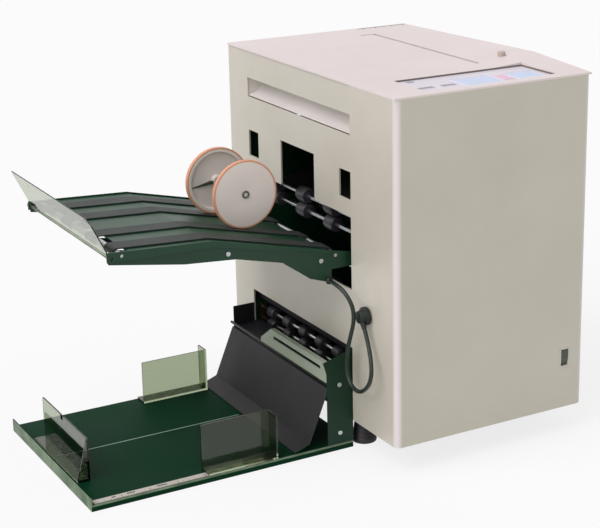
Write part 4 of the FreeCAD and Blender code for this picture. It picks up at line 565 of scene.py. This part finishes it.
strip_near, strip_far = -0.15125, -0.13725
strip_start, strip_end = -0.434, -0.122
strip_rise = 0.0002
strip_low, strip_high = tray_top - strip_rise, tray_top + strip_rise
strip_cut = eased([(strip_near, strip_low), (strip_near, strip_high), (strip_far, strip_high),
                   (strip_far, strip_low)], 0.0001, closed=True)
# Polyester film: printed on its back, so the ink lies under a satin face.
skin("size_strip", [bar(strip_cut, np.linspace(strip_start, strip_end, 3))],
     printed_rule("printed_polyester", "c3beb0", "26402f", strip_start, strip_near), "machine")


# Crossbar over the chute
# A slotted steel strip in pale grey-green enamel, hemmed round a dark oiled rod that holds it. It runs
# from one plate of the chute to the other, under the low exit.
rod_diameter = 0.0052
rod_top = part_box("crossbar")[0].z + rod_diameter
finish(two_coats("pale_green_enamel", "Z", rod_top, "2a2f2b", "a3b09a", 0.45), "crossbar")


# Shafts, rails, blade and bearings
# Ground steel, left bright: the tie bars, the knife's rails and blade, the belt rollers, the hinge pins
# and the motors' shafts. The knife's carriage, the comb that stops the paper and the drive motor's
# housing are milled aluminium, and the bearings are sintered bronze.
def metal(name, colour, roughness, grain, stretch):
    """Bare metal with fine lines. Stretch squeezes the noise along X, Y and Z, so that its grain
    runs the way the tool went."""
    material, tree = blank(name)
    place = add(tree, "TexCoord", {}).outputs["Object"]
    turn = add(tree, "Mapping", {"Vector": place, "Scale": stretch})
    lines = add(tree, "TexNoise", {"Vector": turn.outputs["Vector"], "Scale": 1 / grain, "Detail": 3.0})
    rough = add(tree, "MapRange", {"Value": lines.outputs["Fac"], "From Min": 0.3, "From Max": 0.7,
                                   "To Min": roughness - 0.08, "To Max": roughness + 0.08})
    bump = add(tree, "Bump", {"Height": lines.outputs["Fac"], "Strength": 0.3, "Distance": 0.00003})
    shader = add(tree, "BsdfPrincipled", {
        "Base Color": linear(colour), "Metallic": 1.0, "Roughness": rough.outputs["Result"],
        "Normal": bump.outputs["Normal"]})
    add(tree, "OutputMaterial", {"Surface": shader.outputs["BSDF"]})
    return material


# Ground steel: bright and satin, with fine lines along each shaft.
ground_steel = metal("ground_steel", "b4b5b8", 0.3, 0.0008, (1.0, 0.05, 1.0))
finish(ground_steel, "tie_bars", "knife_blade", "knife_rails", "belt_roller_inner", "belt_roller_outer",
       "lid_hinge_brackets", "press_axle", "gear_motors", "motor_rotor")
# Milled aluminium: a little paler, with coarser lines from the cutter.
finish(metal("milled_aluminium", "b9bbbd", 0.36, 0.001, (1.0, 0.06, 1.0)), "knife_carriage", "sheet_gate",
       "drive_motor")
# Sintered bronze: soaked in oil, so brown, dark and dull.
finish(metal("oiled_sintered_bronze", "6f5d45", 0.5, 0.0006, (1.0, 1.0, 1.0)), "bearing_bushes")


# Rubber rollers
# Steel shafts with moulded nitrile rubber, ground true: the two fold rollers and the four exit
# rollers. The drive belt and the tray belts are a blacker rubber on fabric.
journal = 0.004
broken_end, end_clearance = 0.0006, 0.0005
pulley_width, flange_height, flange_width, flange_foot = 0.009, 0.0015, 0.001, 0.0014
tyre_crown, tyre_shoulder = 0.0003, 0.0012
tyre_row_start, tyre_row_end = -0.13425, 0.20575
# Nitrile rubber: ground, so black with a soft grey bloom.
roller_rubber = moulded("ground_nitrile_rubber", "2a2a2c", "3a3a3c", 0.42, 0.0006, 0.00006)
finish(roller_rubber, "fold_roller_lower", "fold_roller_upper")


def exit_roller(name, body, outer, count, width, groove=None):
    """A steel shaft with a count of rubber tyres pressed on it, of the given outer radius and width.
    The shaft's profile has broken ends and, where a groove radius is given, a flanged pulley at the
    far end. A tyre is crowned by a parabola, 0.3 mm higher in its middle, with cut shoulders."""
    low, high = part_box(name)
    centre = ((low.x + high.x) / 2, 0, (low.z + high.z) / 2)
    last = high.y if groove else high.y - end_clearance
    shape = [(low.y, 0), (low.y, journal - broken_end), (low.y + broken_end, journal)]
    if groove:
        rim, first = groove + flange_height, high.y - pulley_width
        shape += [(first, journal), (first, rim), (first + flange_width, rim), (first + flange_foot, groove),
                  (last - flange_foot, groove), (last - flange_width, rim), (last, rim),
                  (last, journal + flange_width), (last - flange_width, journal), (last - flange_width, 0)]
    else:
        shape += [(last - broken_end, journal), (last, journal - broken_end), (last, 0)]
    skin(name + "_shaft", [turned(shape, centre, (0, 1, 0), steps=40)], ground_steel, body)
    across = np.linspace(-1, 1, 9)
    crown = np.stack([(across + 1) / 2 * width, outer - tyre_crown * across ** 2], axis=1)
    ring = np.concatenate([[(0, journal - 0.0003)], [(0, outer - tyre_shoulder)], crown[1:-1],
                           [(width, outer - tyre_shoulder)], [(width, journal - 0.0003)]])
    starts = np.linspace(tyre_row_start, tyre_row_end - width, count)
    tyres = [turned(ring + [start, 0], centre, (0, 1, 0), steps=56) for start in starts]
    row = skin(name + "_tyres", tyres, roller_rubber, body, closed_rows=True)
    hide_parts(name)


exit_roller("booklet_exit_roller", "booklet_roller", 0.014, 4, 0.03, groove=0.01232)
exit_roller("booklet_exit_idler", "booklet_idler", 0.014, 4, 0.03)
exit_roller("sheet_exit_roller", "sheet_roller", 0.012, 6, 0.024, groove=0.01056)
exit_roller("sheet_exit_idler", "sheet_idler", 0.012, 6, 0.024)
# Belt rubber: moulded on woven fabric, matt and near black.
finish(moulded("belt_rubber", "18201c", "222a25", 0.6, 0.0009, 0.00008), "drive_belt", "tray_belts")


# Gears and pinion
# Cut from cast nylon in its natural cream colour, which runs quietly without oil. They are pressed on
# the ends of the fold rollers and on the shaft of the knife's motor.
finish(moulded("cast_nylon", "dfd8c4", "d5cdb6", 0.4, 0.001, 0.00003), "fold_gear_lower", "fold_gear_upper",
       "knife_pinion")


# Side guides, end stop and end plate
# Cut and bent from cast acrylic sheet with a grey-green tint. The faces are glossy, and mirror the
# white room at a flat angle.
def acrylic(name, colour):
    """Tinted cast acrylic. Light is tinted at each face it goes through, so the colour is that of one
    face."""
    material, tree = blank(name)
    place = add(tree, "TexCoord", {}).outputs["Object"]
    wave = add(tree, "TexNoise", {"Vector": place, "Scale": 1 / 0.05, "Detail": 1.0})
    bump = add(tree, "Bump", {"Height": wave.outputs["Fac"], "Strength": 0.05, "Distance": 0.0005})
    smears = add(tree, "TexNoise", {"Vector": place, "Scale": 1 / 0.03, "Detail": 5.0})
    rough = add(tree, "MapRange", {"Value": smears.outputs["Fac"], "From Min": 0.45, "From Max": 0.75,
                                   "To Min": 0.015, "To Max": 0.07})
    shader = add(tree, "BsdfPrincipled", {
        "Base Color": linear(colour), "Roughness": rough.outputs["Result"], "IOR": 1.49,
        "Transmission Weight": 1.0, "Normal": bump.outputs["Normal"]})
    add(tree, "OutputMaterial", {"Surface": shader.outputs["BSDF"]})
    return material


finish(acrylic("tinted_cast_acrylic", "a2ae92"), "near_side_guide", "far_side_guide", "end_stop",
       "end_plate")


# Press roller
# Two moulded discs on a steel axle, each with an orange polyurethane tyre. It lies loose on the belts
# and presses each fold flat as it passes. Two nylon wedges stiffen each dished side.
press_low, press_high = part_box("press_tyres")
press_x, press_z = (press_low.x + press_high.x) / 2, (press_low.z + press_high.z) / 2
tyre_width = 0.008
disc_radius, tyre_radius = 0.057, 0.06
axle_radius, hub_radius, web = 0.004, 0.009, 0.002
rim_inner, dish_radius = 0.0515, 0.0505
# ABS: moulded with a fine spark-eroded grain, warm grey and satin.
disc_abs = moulded("moulded_abs", "efe8df", "e6ded4", 0.4, 0.0008, 0.00003)
# Polyurethane: cast round the rim and ground, translucent orange with a soft sheen.
tyre_urethane = moulded("orange_polyurethane", "dfa681", "d89c76", 0.4, 0.0008, 0.00003)
# Olive nylon: moulded, the snap caps on the ends of the axle. The wedges are olive nylon in a darker colour,
# which is painted shade for the shadow that falls across the dish.
cap_nylon = moulded("olive_nylon", "59633f", "525b39", 0.35, 0.0008, 0.00003)
shaded_wedge_nylon = moulded("olive_nylon_painted_shade", "39442f", "404b35", 0.45, 0.0008, 0.00003)
disc_shape = eased([(0, axle_radius + 0.0002), (0, disc_radius), (tyre_width, disc_radius),
                    (tyre_width, rim_inner), (web, dish_radius), (web, hub_radius + 0.0012),
                    (tyre_width, hub_radius), (tyre_width, axle_radius + 0.0002)],
                   [0.0001, 0.001, 0.001, 0.001, 0.0025, 0.0025, 0.0008, 0.0001], closed=True)
tyre_shape = eased([(0, disc_radius - 0.0002), (0, tyre_radius), (tyre_width, tyre_radius),
                    (tyre_width, disc_radius - 0.0002)], [0.0001, 0.0016, 0.0016, 0.0001], closed=True)
cap_shape = eased([(0, axle_radius - 0.0004), (0, 0.007), (0.0022, 0.0065), (0.0024, 0.0050),
                   (0.0016, axle_radius - 0.0004)], [0.0001, 0.0001, 0.0009, 0.0007, 0.0001], closed=True)


def gusset(origin, outward, angle):
    """A stiffening rib in the dish: a wedge that starts full height and 6 mm wide at the hub, and falls
    and narrows in straight lines to the rim. Its rows go outwards and its columns round its cut."""
    root, run = 0.0085, 0.0425
    tip_half, widening = 0.0006, 0.0024
    share = np.linspace(0, 1, 8)
    reach = root + share * run
    height = web - 0.0002 + (1 - share) * (tyre_width - web - 0.0006) + 0.0004
    out = np.array([np.cos(angle), 0, np.sin(angle)])
    side = np.array([-np.sin(angle), 0, np.cos(angle)])
    half = tip_half + (1 - share) * widening
    foot = np.full_like(share, web / 2)
    corners = [(-half, foot), (-half, height), (half, height), (half, foot)]
    grid = np.stack([reach[:, None] * out + across[:, None] * side + up[:, None] * np.array(outward)
                     for across, up in corners], axis=1) + np.array(origin)
    ends = [np.broadcast_to(grid[k].mean(axis=0), grid[k].shape) for k in (0, -1)]
    return np.concatenate([[ends[0]], grid, [ends[1]]])


cap_gap = 0.0003
disc_grids, tyre_grids, cap_grids, gussets = [], [], [], []
for middle, facing in ((press_low.y + tyre_width / 2, 1), (press_high.y - tyre_width / 2, -1)):
    face = (press_x, middle - facing * tyre_width / 2, press_z)
    disc_grids.append(turned(disc_shape, face, (0, facing, 0), steps=128))
    tyre_grids.append(turned(tyre_shape, face, (0, facing, 0), steps=128))
    cap_foot = (press_x, face[1] - facing * cap_gap, press_z)
    cap_grids.append(turned(cap_shape, cap_foot, (0, -facing, 0), steps=48))
    gussets += [gusset(face, (0, facing, 0), math.radians(190 + turn)) for turn in (0, 180)]
discs = skin("press_wheels", disc_grids, disc_abs, "press_rollers", closed_rows=True)
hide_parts("press_discs")
# Painted shade: the ribs are real shape, and their dark colour stands in for the shadow across the dish.
skin("press_wheel_ribs", gussets, shaded_wedge_nylon, "press_rollers")
tyres = skin("press_wheel_tyres", tyre_grids, tyre_urethane, "press_rollers",
             closed_rows=True)
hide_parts("press_tyres")
axle_start, axle_end = press_low.y - 0.0016, press_high.y + 0.0016
flare_start, flare_end = press_low.y + tyre_width + 0.0003, press_high.y - tyre_width - 0.0003
flare_radius, flare_length, shaft_radius = 0.0069, 0.014, 0.0042
axle_shape = eased([(axle_start, 0), (axle_start, axle_radius), (flare_start, axle_radius),
                    (flare_start, flare_radius), (flare_start + flare_length, shaft_radius),
                    (flare_end - flare_length, shaft_radius), (flare_end, flare_radius),
                    (flare_end, axle_radius), (axle_end, axle_radius), (axle_end, 0)],
                   [0, 0.0008, 0.0001, 0.0004, 0.006, 0.006, 0.0004, 0.0001, 0.0008, 0])
axle_grid = turned(axle_shape, (press_x, 0, press_z), (0, 1, 0), steps=56)
axle = skin("press_roller_axle", [axle_grid], ground_steel, "press_bar")
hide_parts("press_axle")
skin("press_roller_caps", cap_grids, cap_nylon, "press_bar", closed_rows=True)


# Feet
# Moulded black rubber cones, screwed under the corners of the base pan. Three shallow grooves round
# each let it give a little.
feet_low, feet_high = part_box("feet")
foot_height = feet_high.z
foot_groove, foot_taper, foot_wide = 0.0007, 0.008, 0.023
foot_shape = [(0, 0), (0, 0.0195), (0.0008, 0.0218), (0.0035, 0.0226)]
for rise in (0.012, 0.02, 0.028):
    wall = foot_wide - foot_taper * rise / foot_height - 0.0002
    foot_shape += [(rise - 0.0012, wall), (rise - 0.0004, wall - foot_groove),
                   (rise + 0.0004, wall - foot_groove), (rise + 0.0012, wall)]
foot_shape += [(foot_height - 0.0012, 0.0150), (foot_height, 0.0144), (foot_height, 0)]
foot_grids = [turned(foot_shape, (x, y, 0), (0, 0, 1), steps=64)
              for x in (feet_low.x + foot_wide, feet_high.x - foot_wide)
              for y in (feet_low.y + foot_wide, feet_high.y - foot_wide)]
foot_rubber = moulded("foot_rubber", "141416", "1d1d1f", 0.6, 0.001, 0.0001)
feet = skin("cone_feet", foot_grids, foot_rubber, "machine")
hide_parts("feet")


# Control panel
# A sunken tray in pale ABS. Two display windows are glued on it, four keys come up through it, and each
# has a thin moulded frame. Round the edge of the deck's cut-out runs a thin dark trim, painted shade that
# stands in for the shadow on the walls of the well.
def ring(x0, x1, y0, y1, corner, profile):
    """A profile carried round a rounded rectangle. A profile point (out, up) lies out from the
    rectangle's line, along the bisector of the path's two neighbouring directions, and up from the
    given heights."""
    path = eased([(x0, y0), (x1, y0), (x1, y1), (x0, y1)], corner, closed=True, steps=6)
    ahead = np.roll(path, -1, 0) - path
    behind = path - np.roll(path, 1, 0)
    way = (ahead / np.linalg.norm(ahead, axis=1, keepdims=True)
           + behind / np.linalg.norm(behind, axis=1, keepdims=True))
    way /= np.linalg.norm(way, axis=1, keepdims=True)
    outward = np.stack([way[:, 1], -way[:, 0]], axis=1)
    out, up = np.array(profile, float).T
    flat = path[:, None, :] + outward[:, None, :] * out[None, :, None]
    height = np.broadcast_to(up[None, :, None], (*flat.shape[:2], 1))
    return np.concatenate([flat, height], axis=2)


def display_film(name, glass, cell, edge, spots):
    """Polyester window film: a pale border, and inside it a cell a shade deeper, with the faint rows of
    a dark display every 3.5 mm."""
    material, tree = blank(name)
    place = add(tree, "TexCoord", {}).outputs["Object"]
    axes = add(tree, "SeparateXYZ", {"Vector": place})
    inside = None
    for x0, x1, y0, y1 in spots:
        across = add(tree, "Math", {0: axes.outputs["X"], 1: (x0 + x1) / 2, 2: (x1 - x0) / 2 - edge},
                     operation="COMPARE").outputs[0]
        along = add(tree, "Math", {0: axes.outputs["Y"], 1: (y0 + y1) / 2, 2: (y1 - y0) / 2 - edge},
                    operation="COMPARE").outputs[0]
        both = add(tree, "Math", {0: across, 1: along}, operation="MULTIPLY").outputs[0]
        if inside is not None:
            both = add(tree, "Math", {0: inside, 1: both}, operation="MAXIMUM").outputs[0]
        inside = both
    row_pitch, row_width = 0.0035, 0.0012
    rows = add(tree, "Math", {0: axes.outputs["Y"], 1: row_pitch}, operation="FLOORED_MODULO").outputs[0]
    row = add(tree, "Math", {0: rows, 1: row_width}, operation="LESS_THAN").outputs[0]
    level = add(tree, "MapRange", {"Value": row, "To Min": 1.0, "To Max": 0.6}).outputs["Result"]
    share = add(tree, "Math", {0: inside, 1: level}, operation="MULTIPLY").outputs[0]
    tint = add(tree, "Mix", {"Factor": share, "A": linear(glass), "B": linear(cell)}, data_type="RGBA")
    smears = add(tree, "TexNoise", {"Vector": place, "Scale": 1 / 0.012, "Detail": 4.0})
    rough = add(tree, "MapRange", {"Value": smears.outputs["Fac"], "From Min": 0.4, "From Max": 0.7,
                                   "To Min": 0.12, "To Max": 0.24})
    shader = add(tree, "BsdfPrincipled", {
        "Base Color": tint.outputs["Result"], "Roughness": rough.outputs["Result"], "IOR": 1.55,
        "Coat Weight": 0.4, "Coat Roughness": 0.08})
    add(tree, "OutputMaterial", {"Surface": shader.outputs["BSDF"]})
    return material


panel_top = 0.647
window_spots = [(0.20988, 0.28502, -0.27025, -0.21425), (0.31388, 0.36796, -0.26825, -0.21825)]
# ABS: moulded, with a printed satin film over its face.
panel_abs = moulded("panel_abs", "dedbe0", "d8d5da", 0.42, 0.0006, 0.00003)
finish(panel_abs, "control_panel")
finish(display_film("window_film", "bfd0ea", "9db8e2", 0.004, window_spots), "display_windows")
# Key caps: moulded ABS, grey, with a pale pink one for the start key, all satin.
finish(moulded("key_cap", "8f8a90", "979298", 0.45, 0.0008, 0.00003), "key_1", "key_2", "key_3")
finish(moulded("start_key_cap", "e9bfd0", "e3b7c9", 0.45, 0.0008, 0.00003), "key_4")
bezel_cut = eased([(0.0004, panel_top - 0.0003), (0.0004, panel_top + 0.0009), (0.0017, panel_top + 0.0007),
                   (0.0019, panel_top - 0.0003)], [0.0001, 0.0003, 0.0004, 0.0001], closed=True)
key_spots = []
for name in ("key_1", "key_2", "key_3", "key_4"):
    key_low, key_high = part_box(name)
    key_spots.append((key_low.x, key_high.x, key_low.y, key_high.y))
skin("panel_bezels", [ring(*spot, 0.001, bezel_cut) for spot in window_spots + key_spots], panel_abs,
     "machine", closed_rows=True)
deck_top = 0.65
cut_out = (0.1221, 0.3819, -0.27815, -0.17835)
trim_cut = eased([(0.0001, panel_top - 0.0002), (0.0001, deck_top - 0.0002), (-0.0007, deck_top - 0.0003),
                  (-0.0008, panel_top - 0.0002)], 0.0002, closed=True)
# Painted shade: a thin strip in warm dark grey, matt, that lines the deck's cut-out and stands in for the
# shadow on the walls of the well.
skin("panel_edge_painted_shade", [ring(*cut_out, 0.0008, trim_cut)],
     moulded("trim_painted_shade", "6b645b", "736c62", 0.6, 0.0008, 0.00004), "machine",
     closed_rows=True)


# Latch of the lid
# A moulded push button in a slightly darker tone than the deck, in a round hole of the lid. It frees
# the lid when it is pressed down.
finish(moulded("latch_abs", "bfb3a6", "b8ac9f", 0.45, 0.0008, 0.00003), "lid_latch")


# Power switch
# A rocker switch snapped into the front cover: a pale nylon frame and a dark grey-green rocker. The
# mains inlet in the rear cover is of glossy black nylon.
finish(moulded("frame_nylon", "c9cab9", "c3c4b3", 0.4, 0.002, 0.00002), "switch_frame")
finish(moulded("rocker_nylon", "3b4338", "444b40", 0.3, 0.002, 0.00002), "switch_rocker")
finish(moulded("inlet_nylon", "151517", "1c1c1e", 0.25, 0.002, 0.00002), "mains_inlet")


# Power supply and control board
# A plain screened box and a green laminate board, screwed inside the front shell, where neither is
# seen.
finish(moulded("board_laminate", "2b6642", "2f6d47", 0.4, 0.001, 0.00002), "electrics")


# Screw heads
# Hexagon-head steel screws with a bright zinc finish. They hold the rear cover to the frame, the chute
# plate to the cabinet and the bed to the sides of the belt tray.
def hexagon_head(x, y, z, facing):
    """A screw head on a hexagon. Its radius at an angle is the flat's distance over the cosine of the
    angle from that flat's middle. The top is chamfered and slightly dished."""
    flat = 0.00385
    profile = np.array([(-0.0002, 1.0), (0.0011, 1.0), (0.0014, 0.93), (0.0015, 0.8), (0.0014, 0.5),
                        (0.0012, 0.2), (0.0012, 0.0)])
    angle = np.linspace(0, 2 * np.pi, 48, endpoint=False)
    reach = flat / np.cos((angle % (np.pi / 3)) - np.pi / 6)
    ring_x, ring_z = reach * np.cos(angle), reach * np.sin(angle)
    scale = profile[:, 1, None]
    height = np.broadcast_to(profile[:, 0, None] * facing, (len(profile), len(angle)))
    return np.stack([x + scale * ring_x, y + height, z + scale * ring_z], axis=2)


rear_face, chute_face, tray_face = 0.29975, -0.15225, -0.14425
screw_places = [(x, rear_face, z, 1) for x in (0.07, 0.42) for z in (0.09, 0.35, 0.61)]
screw_places += [(0.0255, chute_face, z, -1) for z in (0.121, 0.031)]
screw_places += [(-0.175, tray_face, 0.39052, -1), (-0.002, tray_face, 0.349, -1)]
# Zinc: plated bright on the steel, so shiny, with no grain that the eye can find.
zinc_steel = metal("bright_zinc", "b9bcc0", 0.3, 0.0005, (1.0, 1.0, 1.0))
screw_heads = [hexagon_head(*place) for place in screw_places]
screws = skin("hexagon_screws", screw_heads, zinc_steel, "machine", crease=25.0)
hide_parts("cover_screws")
